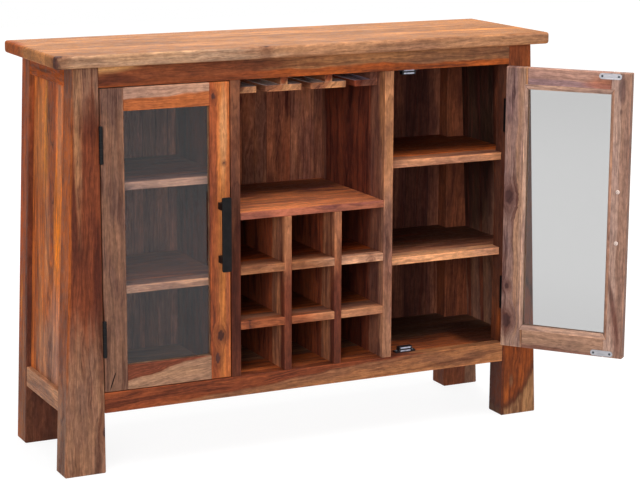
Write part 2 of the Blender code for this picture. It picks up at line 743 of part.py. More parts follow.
def add_rack_rail(case, name, outline, start, end):
    """Extrude one rack rail and round the lead-in corners of its flange."""
    form = bmesh.new()
    add_prism(form, outline, "Y", start, end)
    floor = LEG_HEIGHT - RACK_DROP
    ledge = floor + RACK_FLANGE_THICKNESS

    def on_flange_front(edge):
        ends = [corner.co for corner in edge.verts]
        at_front = all(abs(point.y - start) < GAP for point in ends)
        upright = abs(ends[0].x - ends[1].x) < GAP
        low_part = max(point.z for point in ends) < ledge + GAP
        return at_front and upright and low_part
    ease_edges(form, RACK_EASE, 2, on_flange_front)
    make_object(name, form, "inside", case)


def build_catch(case, side, sign, label):
    """A magnetic catch behind one corner of a door, screwed down by its two ears."""
    centre = sign * (PIVOT_X - HALF_GAP - DOOR_WIDTH + CATCH_FREE_EDGE_DISTANCE)
    if label == "top":
        seat, away = OPENING_TOP - GAP, -1
    else:
        seat, away = FLOOR_LEVEL + GAP, 1
    body = CATCH_BODY_LENGTH / 2
    ear = CATCH_EAR_LENGTH / 2
    outline = [
        (-ear, 0.0), (ear, 0.0), (ear, away * CATCH_EAR_THICKNESS), (body, away * CATCH_EAR_THICKNESS),
        (body, away * CATCH_HEIGHT), (-body, away * CATCH_HEIGHT),
        (-body, away * CATCH_EAR_THICKNESS), (-ear, away * CATCH_EAR_THICKNESS)]
    front = GAP + STRIKE_THICKNESS + CATCH_AIR_GAP
    form = bmesh.new()
    add_prism(form, outline, "Y", front, front + CATCH_DEPTH)
    make_object(f"catch_{side}_{label}", form, "catch", case, (centre, FRONT + DOOR_THICKNESS, seat))


def knuckle_levels(owner):
    """Bottom and top of each knuckle that one leaf owns; the frame leaf has the outer ones."""
    height = HINGE_HEIGHT / HINGE_KNUCKLES
    first = 0 if owner == "frame" else 1
    levels = []
    for index in range(first, HINGE_KNUCKLES, 2):
        low = index * height + (GAP / 2 if index > 0 else 0.0)
        high = (index + 1) * height - (GAP / 2 if index < HINGE_KNUCKLES - 1 else 0.0)
        levels.append((low, high))
    return levels


def leaf_plate(side, owner):
    """The flat of a hinge leaf, with a tab to each of its knuckles."""
    bite = (PIN_RADIUS + PIN_CLEARANCE + KNUCKLE_RADIUS) / 2
    edge = KNUCKLE_RADIUS + GAP
    far = PIVOT_TO_FACE + LEAF_WIDTH
    outline = [(edge, 0.0)]
    for low, high in knuckle_levels(owner):
        outline += [(edge, low), (bite, low), (bite, high), (edge, high)]
    outline += [(edge, HINGE_HEIGHT), (far, HINGE_HEIGHT), (far, 0.0)]
    cleaned = [pair for index, pair in enumerate(outline) if index == 0 or pair != outline[index - 1]]
    start, end = sorted((side * LEAF_SPACING, side * (LEAF_SPACING + LEAF_THICKNESS)))
    form = bmesh.new()
    add_prism(form, cleaned, "X", start, end)
    return form


def build_hinge(case, door, side, sign, label, bottom):
    """A butt hinge: the frame leaf carries the pin, and the door leaf turns on it."""
    frame_place = (sign * PIVOT_X, PIVOT_Y, DOOR_BOTTOM + bottom)
    frame_leaf = make_object(
        f"hinge_{side}_{label}_frame_leaf", leaf_plate(sign, "frame"), "iron", case, frame_place)
    profile = [(KNUCKLE_RADIUS - KNUCKLE_TAPER, -KNUCKLE_TAPER)]
    for low, high in knuckle_levels("frame"):
        if low > 0.0:
            profile += [(PIN_RADIUS, low)]
        profile += [(KNUCKLE_RADIUS, low), (KNUCKLE_RADIUS, high)]
        if high < HINGE_HEIGHT:
            profile += [(PIN_RADIUS, high)]
    profile.append((KNUCKLE_RADIUS - KNUCKLE_TAPER, HINGE_HEIGHT + KNUCKLE_TAPER))
    barrel = bmesh.new()
    add_turned(barrel, profile)
    combine(frame_leaf, barrel, "UNION")
    door_leaf = make_object(
        f"hinge_{side}_{label}_door_leaf", leaf_plate(-sign, "door"), "iron", door, (0.0, 0.0, bottom))
    bore = PIN_RADIUS + PIN_CLEARANCE
    tubes = bmesh.new()
    for low, high in knuckle_levels("door"):
        ring = [(bore, low), (KNUCKLE_RADIUS, low), (KNUCKLE_RADIUS, high), (bore, high)]
        add_turned(tubes, ring, closed=True)
    combine(door_leaf, tubes, "UNION")


def door_tenons(reach, low_z, high_z):
    """Tenons of a door rail as boxes; reach is the sign of the door's free edge."""
    thickness = (DOOR_TENON_THICKNESS, PIVOT_TO_FACE + DOOR_THICKNESS / 2)
    low_y = thickness[1] - thickness[0] / 2
    high_y = thickness[1] + thickness[0] / 2
    hinge_shoulder = HALF_GAP + HINGE_STILE_WIDTH
    free_shoulder = HALF_GAP + DOOR_WIDTH - FREE_STILE_WIDTH
    bite = DOOR_TENON_SHOULDER
    spans = {
        "hinge": (hinge_shoulder - DOOR_TENON_LENGTH, hinge_shoulder + bite),
        "free": (free_shoulder - bite, free_shoulder + DOOR_TENON_LENGTH)}
    tenons = {}
    for end, (low_x, high_x) in spans.items():
        low = (low_x, low_y, low_z + DOOR_TENON_SHOULDER)
        high = (high_x, high_y, high_z - DOOR_TENON_SHOULDER)
        tenons[end] = mirrored(reach, low, high)
    return tenons


def build_door(case, side, sign, turn):
    """One glazed door, hung on its pivot, with its origin on the hinge axis."""
    reach = -sign
    door = make_empty(f"door_{side}_pivot", case, (sign * PIVOT_X, PIVOT_Y, DOOR_BOTTOM), turn)
    low_y = PIVOT_TO_FACE
    high_y = DOOR_INNER_FACE
    inner_left = HALF_GAP + HINGE_STILE_WIDTH
    inner_right = HALF_GAP + DOOR_WIDTH - FREE_STILE_WIDTH
    rails = (("rail_bottom", 0.0, DOOR_RAIL_BOTTOM), ("rail_top", DOOR_HEIGHT - DOOR_RAIL_TOP, DOOR_HEIGHT))
    beyond = high_y + DOOR_LIP
    rebate = mirrored(
        reach,
        (inner_left - STILE_REBATE, low_y + DOOR_LIP, DOOR_RAIL_BOTTOM - RAIL_REBATE),
        (inner_right + STILE_REBATE, beyond, DOOR_HEIGHT - DOOR_RAIL_TOP + RAIL_REBATE))
    handle_x = reach * (HALF_GAP + DOOR_WIDTH - HANDLE_EDGE_DISTANCE)
    screw_levels = [DOOR_HEIGHT / 2 + half * HANDLE_FEET_SPACING / 2 for half in (-1, 1)]
    stiles = (("stile_hinge", "hinge", HALF_GAP, inner_left),
              ("stile_free", "free", inner_right, HALF_GAP + DOOR_WIDTH))
    for label, end, left, right in stiles:
        corners = mirrored(reach, (left, low_y, 0.0), (right, high_y, DOOR_HEIGHT))
        stile = eased_board(f"door_{side}_{label}", corners, "door", door)
        mortises = [grown(door_tenons(reach, low_z, high_z)[end]) for _, low_z, high_z in rails]
        combine(stile, moved_boxes(stile, mortises), "DIFFERENCE")
        combine(stile, moved_boxes(stile, [rebate]), "DIFFERENCE")
        if end == "hinge":
            recesses = [leaf_recess(reach, bottom) for bottom in hinge_bottoms().values()]
            combine(stile, moved_boxes(stile, recesses), "DIFFERENCE")
        else:
            holes = bmesh.new()
            for level in screw_levels:
                centre = Vector((handle_x, 0.0, level)) - stile.location
                radius = SCREW_RADIUS + GAP
                add_rod(holes, radius, centre, centre + Vector((0.0, beyond, 0.0)))
            combine(stile, holes, "DIFFERENCE")
    for label, low_z, high_z in rails:
        corners = mirrored(reach, (inner_left + GAP, low_y, low_z), (inner_right - GAP, high_y, high_z))
        rail = eased_board(f"door_{side}_{label}", corners, "door", door)
        tenons = list(door_tenons(reach, low_z, high_z).values())
        combine(rail, moved_boxes(rail, [rebate]), "DIFFERENCE")
        combine(rail, moved_boxes(rail, tenons), "UNION")
    glass_front = low_y + DOOR_LIP + GAP
    glass_rear = glass_front + GLASS_THICKNESS
    daylight = ((inner_left, DOOR_RAIL_BOTTOM), (inner_right, DOOR_HEIGHT - DOOR_RAIL_TOP))
    (left, low_z), (right, high_z) = daylight
    glass_corners = mirrored(
        reach,
        (left - STILE_REBATE + GAP, glass_front, low_z - RAIL_REBATE + GAP),
        (right + STILE_REBATE - GAP, glass_rear, high_z + RAIL_REBATE - GAP))
    eased_board(f"door_{side}_glass", glass_corners, "glass", door, GLASS_EASE)
    build_bead(door, side, reach, daylight, glass_rear + GAP)
    build_handle(door, side, handle_x, screw_levels)
    strike_x = reach * (HALF_GAP + DOOR_WIDTH - CATCH_FREE_EDGE_DISTANCE)
    build_strike(door, f"strike_{side}_bottom", strike_x, STRIKE_EDGE_DISTANCE)
    build_strike(door, f"strike_{side}_top", strike_x, DOOR_HEIGHT - STRIKE_EDGE_DISTANCE)
    for label, bottom in hinge_bottoms().items():
        build_hinge(case, door, side, sign, label, bottom)
    return door


def build_bead(door, side, reach, daylight, seat):
    """The mitred bead that holds the glass in its rebate from inside, wider along the rails."""
    depth = DOOR_INNER_FACE - BEAD_SINK - seat
    wide = STILE_REBATE - GAP
    high_part = RAIL_REBATE - GAP
    chamfer = BEAD_CHAMFER / wide
    profile = [(0.0, 0.0), (1.0, 0.0), (1.0, depth), (chamfer, depth), (0.0, depth - BEAD_CHAMFER)]
    (left, low), (right, high) = daylight
    form = bmesh.new()
    rings = []
    for out_x, out_z, corner_x, corner_z in (
            (-1, -1, left, low), (1, -1, right, low), (1, 1, right, high), (-1, 1, left, high)):
        rings.append([
            form.verts.new((
                reach * (corner_x + out_x * wide * out), seat + into, corner_z + out_z * high_part * out))
            for out, into in profile])
    for index, ring in enumerate(rings):
        following = rings[(index + 1) % len(rings)]
        for place in range(len(profile)):
            after = (place + 1) % len(profile)
            form.faces.new((ring[place], ring[after], following[after], following[place]))
    make_object(f"door_{side}_glazing_bead", form, "bead", door)


def build_handle(door, side, centre, screw_levels):
    """A flat bar pull on two square feet, with the screws that come through from inside."""
    face = PIVOT_TO_FACE
    bar_front = face - HANDLE_STANDOFF
    half_width = HANDLE_WIDTH / 2
    middle = DOOR_HEIGHT / 2
    form = bmesh.new()
    add_box(
        form, (-half_width, bar_front, middle - HANDLE_LENGTH / 2),
        (half_width, bar_front + HANDLE_THICKNESS, middle + HANDLE_LENGTH / 2))

    def at_corner(edge):
        return abs(edge.verts[0].co.y - edge.verts[1].co.y) > GAP

    def round_face(edge):
        return not at_corner(edge)
    ease_edges(form, HANDLE_CORNER, 3, at_corner)
    ease_edges(form, HANDLE_EASE, 2, round_face)
    handle = make_object(f"door_{side}_handle", form, "iron", door, (centre, 0.0, 0.0))
    foot_width = HANDLE_FOOT_WIDTH / 2
    foot_height = HANDLE_FOOT_HEIGHT / 2
    root = bar_front + HANDLE_THICKNESS / 2
    feet = [((-foot_width, root, level - foot_height), (foot_width, face - GAP, level + foot_height))
            for level in screw_levels]
    combine(handle, boxes(*feet), "UNION")
    head_seat = DOOR_INNER_FACE + GAP
    screws = bmesh.new()
    for level in screw_levels:
        shank = bmesh.new()
        profile = [
            (SCREW_RADIUS, face - HANDLE_FOOT_WIDTH), (SCREW_RADIUS, head_seat),
            (SCREW_HEAD_RADIUS, head_seat),
            (SCREW_HEAD_RADIUS, head_seat + SCREW_HEAD_THICKNESS / 2),
            (SCREW_CROWN_RADIUS, head_seat + SCREW_HEAD_THICKNESS)]
        add_turned(shank, profile)
        place = Matrix.Translation((0.0, 0.0, level)) @ Matrix.Rotation(-math.pi / 2, 4, "X")
        bmesh.ops.transform(shank, matrix=place, verts=shank.verts)
        part = bpy.data.meshes.new("screw")
        shank.to_mesh(part)
        shank.free()
        screws.from_mesh(part)
        bpy.data.meshes.remove(part)
    combine(handle, screws, "UNION")


def build_strike(door, name, centre, level):
    """A round-ended steel plate with two screw holes, facing a catch."""
    radius = STRIKE_HEIGHT / 2
    straight = STRIKE_LENGTH / 2 - radius
    outline = []
    steps = ROUND_SEGMENTS // 2
    for end, first in ((1, -90.0), (-1, 90.0)):
        for index in range(steps + 1):
            angle = math.radians(first + 180.0 * index / steps)
            outline.append((end * straight + radius * math.cos(angle), radius * math.sin(angle)))
    form = bmesh.new()
    add_prism(form, outline, "Y", 0.0, STRIKE_THICKNESS)
    plate = make_object(name, form, "plate", door, (centre, DOOR_INNER_FACE + GAP, level))
    holes = bmesh.new()
    for end in (-1, 1):
        x = end * STRIKE_HOLE_SPACING / 2
        add_rod(holes, STRIKE_HOLE_RADIUS, (x, -STRIKE_THICKNESS, 0.0), (x, 2 * STRIKE_THICKNESS, 0.0))
    combine(plate, holes, "DIFFERENCE")


def settle_origin(case):
    """Move the case so that the bottom centre of the whole object's box is the world's origin."""
    bpy.context.view_layer.update()
    graph = bpy.context.evaluated_depsgraph_get()
    corners = []
    for item in bpy.context.scene.objects:
        if item.type != "MESH" or item.hide_render:
            continue
        shape = item.evaluated_get(graph)
        corners += [shape.matrix_world @ vertex.co for vertex in shape.data.vertices]
    middle_x = (min(point.x for point in corners) + max(point.x for point in corners)) / 2
    middle_y = (min(point.y for point in corners) + max(point.y for point in corners)) / 2
    case.location = (-middle_x, -middle_y, 0.0)


def main():
    """Build the whole cabinet."""
    clear_scene()
    case = make_empty("case", None, (0.0, 0.0, 0.0))
    build_top(case)
    build_front_rails(case)
    build_back(case)
    build_floor(case)
    for side, sign in SIDES:
        for end in ("front", "rear"):
            build_leg(case, end, side, sign)
        build_side(case, side, sign)
        build_divider(case, side, sign)
        build_side_shelves(case, side, sign)
        for label in ("top", "bottom"):
            build_catch(case, side, sign, label)
    housed_board(case, "centre_shelf", CENTRE_SHELF_BOTTOM, CENTRE_SHELF_THICKNESS)
    build_bottle_grid(case)
    build_glass_rails(case)
    build_door(case, "left", -1, 0.0)
    build_door(case, "right", 1, RIGHT_DOOR_OPEN)
    settle_origin(case)


main()
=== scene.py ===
"""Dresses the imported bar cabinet: figured timber boards, glazed doors, black ironwork and a white studio."""

import logging
import math
from dataclasses import dataclass, field, replace
from enum import Enum
from typing import Dict, Optional, Sequence, Tuple, Union

import bmesh
import bpy
import numpy as np
from mathutils import Matrix, Vector


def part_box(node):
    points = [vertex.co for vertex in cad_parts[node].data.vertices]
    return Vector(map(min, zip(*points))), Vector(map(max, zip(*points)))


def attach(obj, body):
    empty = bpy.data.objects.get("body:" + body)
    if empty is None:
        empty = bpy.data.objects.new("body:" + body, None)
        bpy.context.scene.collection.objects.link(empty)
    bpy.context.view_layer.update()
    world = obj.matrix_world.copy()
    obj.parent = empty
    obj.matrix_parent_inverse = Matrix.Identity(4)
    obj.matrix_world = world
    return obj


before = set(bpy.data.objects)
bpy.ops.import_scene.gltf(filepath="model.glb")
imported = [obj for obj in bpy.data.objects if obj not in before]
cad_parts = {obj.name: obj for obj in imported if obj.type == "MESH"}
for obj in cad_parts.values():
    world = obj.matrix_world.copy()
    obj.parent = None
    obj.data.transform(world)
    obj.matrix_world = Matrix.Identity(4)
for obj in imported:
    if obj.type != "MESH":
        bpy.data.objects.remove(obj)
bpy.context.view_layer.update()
LOG = logging.getLogger("bar_cabinet")

CARCASS = "carcass"
RIGHT_DOOR_OPEN = math.radians(129.0)
BEAD_BARS = (0.0117, 0.0077)
LOG_RADIUS = 0.22
TIMBER_SHINE = 0.08
TIMBER_BUMP = (0.55, 0.0005)
GLUE_LINE = (0.0011, 0.0003)
STAVE_HASH = 7.31
STAVE_SPREAD = (3.0, 0.11, 0.05)
FLAME_WARP = (0.9, 1.3, 0.0)
FINER = (6.0, 6.0, 6.0)
NOISE_MIDDLE = (0.5, 0.5, 0.5)
WHITE = (1.0, 1.0, 1.0, 1.0)
PALE_LIFT = (1.52, 1.36, 1.22, 1.0)
WORN_LIFT = (1.5, 1.38, 1.25, 1.0)
COOL_CAST = (0.74, 0.70, 0.80, 1.0)
WARM_CAST = (1.28, 1.20, 1.08, 1.0)
VECTOR_SOCKETS = frozenset({"Vector", "Pith", "Lean", "Centre", "Size", "Half", "Bars", "Normal"})
COLOUR_SOCKETS = frozenset({"Ground", "Streak", "Stain", "Colour"})

Triple = Tuple[float, float, float]
Colour = Tuple[float, float, float, float]
Wire = Union["Value", bpy.types.Node, float, Sequence[float]]


class Tone(Enum):
    """The timber's colours, as a painter would mix them."""

    CREAM = "#C79C76"
    TAN = "#B38560"
    GREY_TAN = "#9C7760"
    BROWN = "#8E6147"
    HONEY = "#C98F58"
    GOLD = "#C47A34"
    ORANGE = "#B4622F"
    RUST = "#9A4E28"
    RED_BROWN = "#7C422B"
    MAROON = "#552B20"
    PLUM = "#382021"
    INK = "#150C0A"
    KNOT = "#4A302E"
    # painted sheen: the near-white colour of the rack's ledge tops, standing for lacquer that reflects the
    # white studio
    SLATE = "#E2E6EE"
    ASH = "#C2B1A8"
    DRAB = "#AC8A79"
    AMBER = "#BE6914"
    BLUSH = "#F4CBA6"

    def linear(self) -> Colour:
        """Returns the tone as linear red, green, blue and alpha."""
        return linear_colour(self.value)


def linear_colour(code: str) -> Colour:
    """Turns a written colour into the linear values that shaders take.

    Args:
        code: six hexadecimal digits after a hash.

    Returns:
        Linear red, green, blue and alpha.
    """
    parts = [int(code[i:i + 2], 16) / 255.0 for i in (1, 3, 5)]
    red, green, blue = (v / 12.92 if v <= 0.04045 else ((v + 0.055) / 1.055) ** 2.4 for v in parts)
    return red, green, blue, 1.0


def is_vector(term: Wire) -> bool:
    """Returns whether a term is a vector or a colour, not a number."""
    return isinstance(term, tuple) or isinstance(term, Value) and term.socket.type in ("VECTOR", "RGBA")


@dataclass(frozen=True)
class Value:
    """What one output of a node gives. A sum that is written with it adds the node that works it out."""

    graph: "Graph"
    socket: bpy.types.NodeSocket

    def __add__(self, other: Wire) -> "Value":
        """Returns this plus the other."""
        return self.graph.sum("ADD", self, other)

    def __sub__(self, other: Wire) -> "Value":
        """Returns this less the other."""
        return self.graph.sum("SUBTRACT", self, other)

    def __rsub__(self, other: Wire) -> "Value":
        """Returns the other less this."""
        return self.graph.sum("SUBTRACT", other, self)

    def __mul__(self, other: Wire) -> "Value":
        """Returns this times the other, which scales a vector where it is a number."""
        scales = is_vector(self) and not is_vector(other)
        return self.graph.sum("SCALE" if scales else "MULTIPLY", self, other)

    def __truediv__(self, other: Wire) -> "Value":
        """Returns this over the other."""
        return self.graph.sum("DIVIDE", self, other)

    def scaled(self, factor: Wire, shift: Wire) -> "Value":
        """Returns this number times the factor, plus the shift."""
        return self.graph.sum("MULTIPLY_ADD", self, factor, shift)

    def lesser(self, other: Wire) -> "Value":
        """Returns the smaller of two numbers."""
        return self.graph.sum("MINIMUM", self, other)

    def greater(self, other: Wire) -> "Value":
        """Returns the larger of two numbers."""
        return self.graph.sum("MAXIMUM", self, other)

    def floor(self) -> "Value":
        """Returns the whole number below this."""
        return self.graph.sum("FLOOR", self)

    def absolute(self) -> "Value":
        """Returns this without its sign."""
        return self.graph.sum("ABSOLUTE", self)

    def length(self) -> "Value":
        """Returns this vector's length."""
        return self.graph.sum("LENGTH", self)

    def split(self) -> Tuple["Value", ...]:
        """Returns this vector's three parts."""
        node = self.graph.node("ShaderNodeSeparateXYZ", {0: self})
        return tuple(Value(self.graph, output) for output in node.outputs)

    def noise(self, detail: float = 2.0, roughness: float = 0.5, output: str = "Fac") -> "Value":
        """Reads a noise that changes about once a unit.

        Args:
            detail: how many finer layers it has.
            roughness: how strong they are.
            output: Fac for a number, Color for a vector.

        Returns:
            The noise at this vector.
        """
        node = self.graph.node("ShaderNodeTexNoise", {"Vector": self, "Scale": 1.0, "Detail": detail,
                                                      "Roughness": roughness})
        return Value(self.graph, node.outputs[output])

    def ease(self, start: Wire, end: Wire, low: float = 0.0, high: float = 1.0) -> "Value":
        """Eases from low to high as this number goes from start to end.

        Args:
            start: where the easing starts.
            end: where it ends.
            low: the result at the start.
            high: the result at the end.

        Returns:
            The eased number.
        """
        values = dict(enumerate((self, start, end, low, high)))
        node = self.graph.node("ShaderNodeMapRange", values, interpolation_type="SMOOTHSTEP")
        return Value(self.graph, node.outputs[0])


@dataclass
class Graph:
    """One node tree, with short calls that add a node and wire what it takes."""

    tree: bpy.types.NodeTree

    def wire(self, value: Wire, socket: bpy.types.NodeSocket) -> None:
        """Links a value to the input, or sets a plain one on it.

        Args:
            value: a value, a node that gives its first output, a number or a tuple.
            socket: the input that takes it.
        """
        if isinstance(value, Value):
            self.tree.links.new(value.socket, socket)
        elif isinstance(value, bpy.types.Node):
            self.tree.links.new(value.outputs[0], socket)
        else:
            socket.default_value = value

    def node(self, kind: str, values: Optional[Dict[Union[int, str], Wire]] = None,
             **settings: object) -> bpy.types.Node:
        """Adds one node.

        Args:
            kind: the node's type name.
            values: what its inputs take, by name or number.
            settings: properties to set on it.

        Returns:
            The node.
        """
        node = self.tree.nodes.new(kind)
        for key, setting in settings.items():
            setattr(node, key, setting)
        for label, value in (values or {}).items():
            self.wire(value, node.inputs[label])
        return node

    def sum(self, operation: str, *terms: Wire, clamp: bool = False) -> Value:
        """Works out one sum, of vectors where a term is a vector, else of numbers.

        Args:
            operation: the name of the sum, such as ADD.
            terms: what it takes.
            clamp: whether a number is held between 0 and 1.

        Returns:
            The result.
        """
        if not any(is_vector(term) for term in terms):
            return Value(self, self.node("ShaderNodeMath", dict(enumerate(terms)), operation=operation,
                                         use_clamp=clamp).outputs[0])
        labels = (0, "Scale") if operation == "SCALE" else (0, 1)
        node = self.node("ShaderNodeVectorMath", dict(zip(labels, terms)), operation=operation)
        return Value(self, node.outputs["Value" if operation == "LENGTH" else "Vector"])

    def join(self, along: Wire, across: Wire, depth: Wire) -> Value:
        """Returns one vector of three parts."""
        node = self.node("ShaderNodeCombineXYZ", {0: along, 1: across, 2: depth})
        return Value(self, node.outputs[0])

    def mix(self, factor: Wire, below: Wire, above: Wire, mode: str = "MIX") -> Value:
        """Mixes two colours.

        Args:
            factor: how much of the upper one shows.
            below: the colour below.
            above: the colour on top.
            mode: how they combine.

        Returns:
            The mixed colour.
        """
        node = self.node("ShaderNodeMix", data_type="RGBA", blend_type=mode)
        for value, index in ((factor, 0), (below, 6), (above, 7)):
            self.wire(value, node.inputs[index])
        return Value(self, node.outputs[2])

    def tint(self, below: Wire, above: Wire) -> Value:
        """Returns one colour times another."""
        return self.mix(1.0, below, above, "MULTIPLY")

    def bump(self, height: Value, strength: float, distance: float) -> Value:
        """Returns the normal of a surface that rises with the height."""
        node = self.node("ShaderNodeBump", {"Height": height, "Strength": strength, "Distance": distance})
        return Value(self, node.outputs["Normal"])

    def place(self) -> Value:
        """Returns the Object coordinates."""
        return Value(self, self.node("ShaderNodeTexCoord").outputs["Object"])

    def call(self, group: bpy.types.NodeTree, **values: Wire) -> Dict[str, Value]:
        """Adds a shared group.

        Args:
            group: the group's tree.
            values: what its inputs take.

        Returns:
            What it gives, by name.
        """
        node = self.node("ShaderNodeGroup", values, node_tree=group)
        return {output.name: Value(self, output) for output in node.outputs}


class Group(Graph):
    """A shared node group, whose sockets' kinds follow from their names."""

    def __init__(self, name: str, *takes: str) -> None:
        """Opens the group.

        Args:
            name: the group's name.
            takes: the names of its inputs.
        """
        super().__init__(bpy.data.node_groups.new(name, "ShaderNodeTree"))
        self.add_sockets(takes, "INPUT")
        self.take: Tuple[Value, ...] = tuple(
            Value(self, socket) for socket in self.node("NodeGroupInput").outputs[:len(takes)])

    def add_sockets(self, labels: Sequence[str], way: str) -> None:
        """Adds named sockets on one side.

        Args:
            labels: their names.
            way: INPUT or OUTPUT.
        """
        for label in labels:
            kind = "Vector" if label in VECTOR_SOCKETS else "Color" if label in COLOUR_SOCKETS else "Float"
            self.tree.interface.new_socket(name=label, in_out=way, socket_type=f"NodeSocket{kind}")

    def give(self, **results: Wire) -> bpy.types.NodeTree:
        """Closes the group.

        Args:
            results: what each output gives.

        Returns:
            The group's tree.
        """
        self.add_sockets(tuple(results), "OUTPUT")
        self.node("NodeGroupOutput", results)
        return self.tree


@dataclass(frozen=True)
class Frequencies:
    """How often each pattern of the timber changes in a metre: along the grain, across it and through it."""

    broad: Triple = (2.8, 12.0, 12.0)
    fine: Triple = (15.0, 60.0, 60.0)
    patch: Triple = (7.0, 27.0, 27.0)
    streak: Triple = (3.4, 95.0, 5.0)
    line: Triple = (9.0, 260.0, 12.0)
    ring: Triple = (8.0, 420.0, 9.0)
    fibre: Triple = (28.0, 620.0, 620.0)
    pore: Triple = (75.0, 1500.0, 1500.0)
    fleck: Triple = (60.0, 110.0, 110.0)
    knot: Triple = (120.0, 260.0, 120.0)
    flame: Triple = (9.0, 75.0, 75.0)
    arris: Triple = (35.0, 90.0, 90.0)


PER_METRE = Frequencies()


def staves_group() -> bpy.types.NodeTree:
    """Cuts a glued-up board into staves: floor(y / width + shift) picks one, and a hash moves its log.

    Returns:
        The group, which gives the moved vector, a tone for each stave and a mask of the glue lines.
    """
    group = Group("glued_staves", "Vector", "Width", "Shift", "Seed")
    place, width, shift, seed = group.take
    count = place.split()[1] / width + shift
    which = count.floor()
    part = count - which
    chance = group.node("ShaderNodeTexWhiteNoise", noise_dimensions="1D")
    group.wire(which.scaled(STAVE_HASH, seed), chance.inputs["W"])
    moved = place + (Value(group, chance.outputs["Color"]) - NOISE_MIDDLE) * STAVE_SPREAD
    near = part.lesser(1.0 - part) * width
    return group.give(Vector=moved, Tone=Value(group, chance.outputs["Value"]), Joint=near.ease(*GLUE_LINE))


def figure_group() -> bpy.types.NodeTree:
    """Reads a board out of a log: heartwood, veins and rings follow r = |(y, z) - pith - lean x + warp|.

    Returns:
        The group, which gives masks of heartwood, dark veins, pale streaks, growth rings and broad patches.
    """
    group = Group("log_figure", "Vector", "Seed", "Pith", "Lean", "Girth", "Wander", "Softness")
    place, seed, pith, lean, girth, wander, softness = group.take
    along, _, depth = place.split()
    seeds = group.join(seed, seed * 1.7, seed)
    warp = ((place * PER_METRE.broad + seeds).noise(output="Color") - NOISE_MIDDLE) * wander
    ripple = ((place * PER_METRE.fine + seeds).noise() - 0.5) * (wander * 0.60)
    _, across, through = (place - pith - lean * along + warp).split()
    radius = group.join(0.0, across, through).length() + ripple
    patch = (place * PER_METRE.patch + seeds * 2.3).noise(3.0, 0.55)
    often, out, deep = PER_METRE.streak
    streak = group.join(along.scaled(often, seed), radius * out, depth * deep).noise(3.5, 0.58)
    often, out, deep = PER_METRE.line
    line = group.join(along.scaled(often, seed), radius * out, depth * deep).noise(2.0, 0.55)
    often, out, deep = PER_METRE.ring
    ring = group.join(along * often, radius * out, depth.scaled(deep, seed)).noise()
    lines = line.ease(0.53, 0.63) * patch.ease(0.56, 0.40)
    return group.give(Heart=(girth - radius).ease(softness * -1.0, softness),
                      Vein=streak.ease(0.51, 0.64).greater(lines), Pale=streak.ease(0.47, 0.34),
                      Ring=ring.ease(0.32, 0.68), Cast=patch.ease(0.36, 0.64))


def fibre_group() -> bpy.types.NodeTree:
    """Draws fibres under a millimetre wide, open pores and cross-grain flecks, all stretched along x.

    Returns:
        The group, which gives a mask of each.
    """
    group = Group("wood_fibre", "Vector", "Seed")
    place, seed = group.take
    moved = place + group.join(seed, 0.0, 0.0)
    return group.give(Fibre=(moved * PER_METRE.fibre).noise(3.0, 0.6).ease(0.30, 0.70),
                      Pore=(moved * PER_METRE.pore).noise(1.0, 0.4).ease(0.62, 0.71),
                      Fleck=(moved * PER_METRE.fleck).noise(3.0, 0.65).ease(0.34, 0.66))


def knot_group() -> bpy.types.NodeTree:
    """Draws a knot: an ellipse with a dark core, and the grain line squeezed to its middle flows round it.

    Returns:
        The group, which gives the bent vector and masks of core and halo.
    """
    group = Group("wood_knot", "Vector", "Centre", "Radius", "Stretch")
    place, centre, radius, stretch = group.take
    gap = place - centre
    along, across, depth = gap.split()
    ragged = ((gap * PER_METRE.knot).noise() - 0.5) * 0.9
    distance = group.join(along / stretch, across, depth * 0.15).length() / radius + ragged
    halo = distance.ease(3.4, 0.9)
    bent = group.join(along, across * (1.0 - halo * 0.85), depth)
    return group.give(Vector=bent + centre, Core=distance.ease(1.12, 0.72), Halo=halo)


def flame_group() -> bpy.types.NodeTree:
    """Draws a long patch of another colour: |(x, y - tilt x, z) / size + warp| < 1, with a grained edge.

    Returns:
        The group, which gives the patch's mask.
    """
    group = Group("heart_flame", "Vector", "Centre", "Size", "Tilt", "Softness", "Ragged", "Seed")
    place, centre, size, tilt, softness, ragged, seed = group.take
    along, across, depth = (place - centre).split()
    shaped = group.join(along, across - along * tilt, depth) / size
    edge = ((place + group.join(seed, 0.0, 0.0)) * PER_METRE.flame).noise(3.0, 0.55, "Color")
    warp = (edge - NOISE_MIDDLE) * FLAME_WARP
    distance = (shaped + warp * ragged).length()
    return group.give(Mask=distance.ease(softness + 1.0, 1.0 - softness))


def wear_group() -> bpy.types.NodeTree:
    """Masks a band along a board's arrises: the middle one of the three distances to its faces.

    Returns:
        The group, which gives the band's mask.
    """
    group = Group("arris_wear", "Vector", "Half", "Width")
    place, half, width = group.take
    along, across, depth = (half - place.absolute()).split()
    middle = along.lesser(across).greater(along.greater(across).lesser(depth))
    reach = width * ((place * PER_METRE.arris).noise(3.0, 0.6) * 2.2)
    return group.give(Wear=middle.ease(reach, 0.0))


def mitre_group() -> bpy.types.NodeTree:
    """Turns the grain with each side of a mitred frame: x and y swap where end / rail < side / stile.

    Returns:
        The group, which gives the turned vector and a mask of the mitre lines.
    """
    group = Group("mitred_frame", "Vector", "Half", "Bars")
    place, half, bars = group.take
    end, side, _ = ((half - place.absolute()) / bars).split()
    along, across, depth = place.split()
    node = group.node("ShaderNodeMix", data_type="VECTOR")
    turned = group.sum("LESS_THAN", end, side)
    for value, index in ((turned, 0), (place, 4), (group.join(across, along, depth), 5)):
        group.wire(value, node.inputs[index])
    return group.give(Vector=Value(group, node.outputs[1]), Joint=(end - side).absolute().ease(0.10, 0.02))


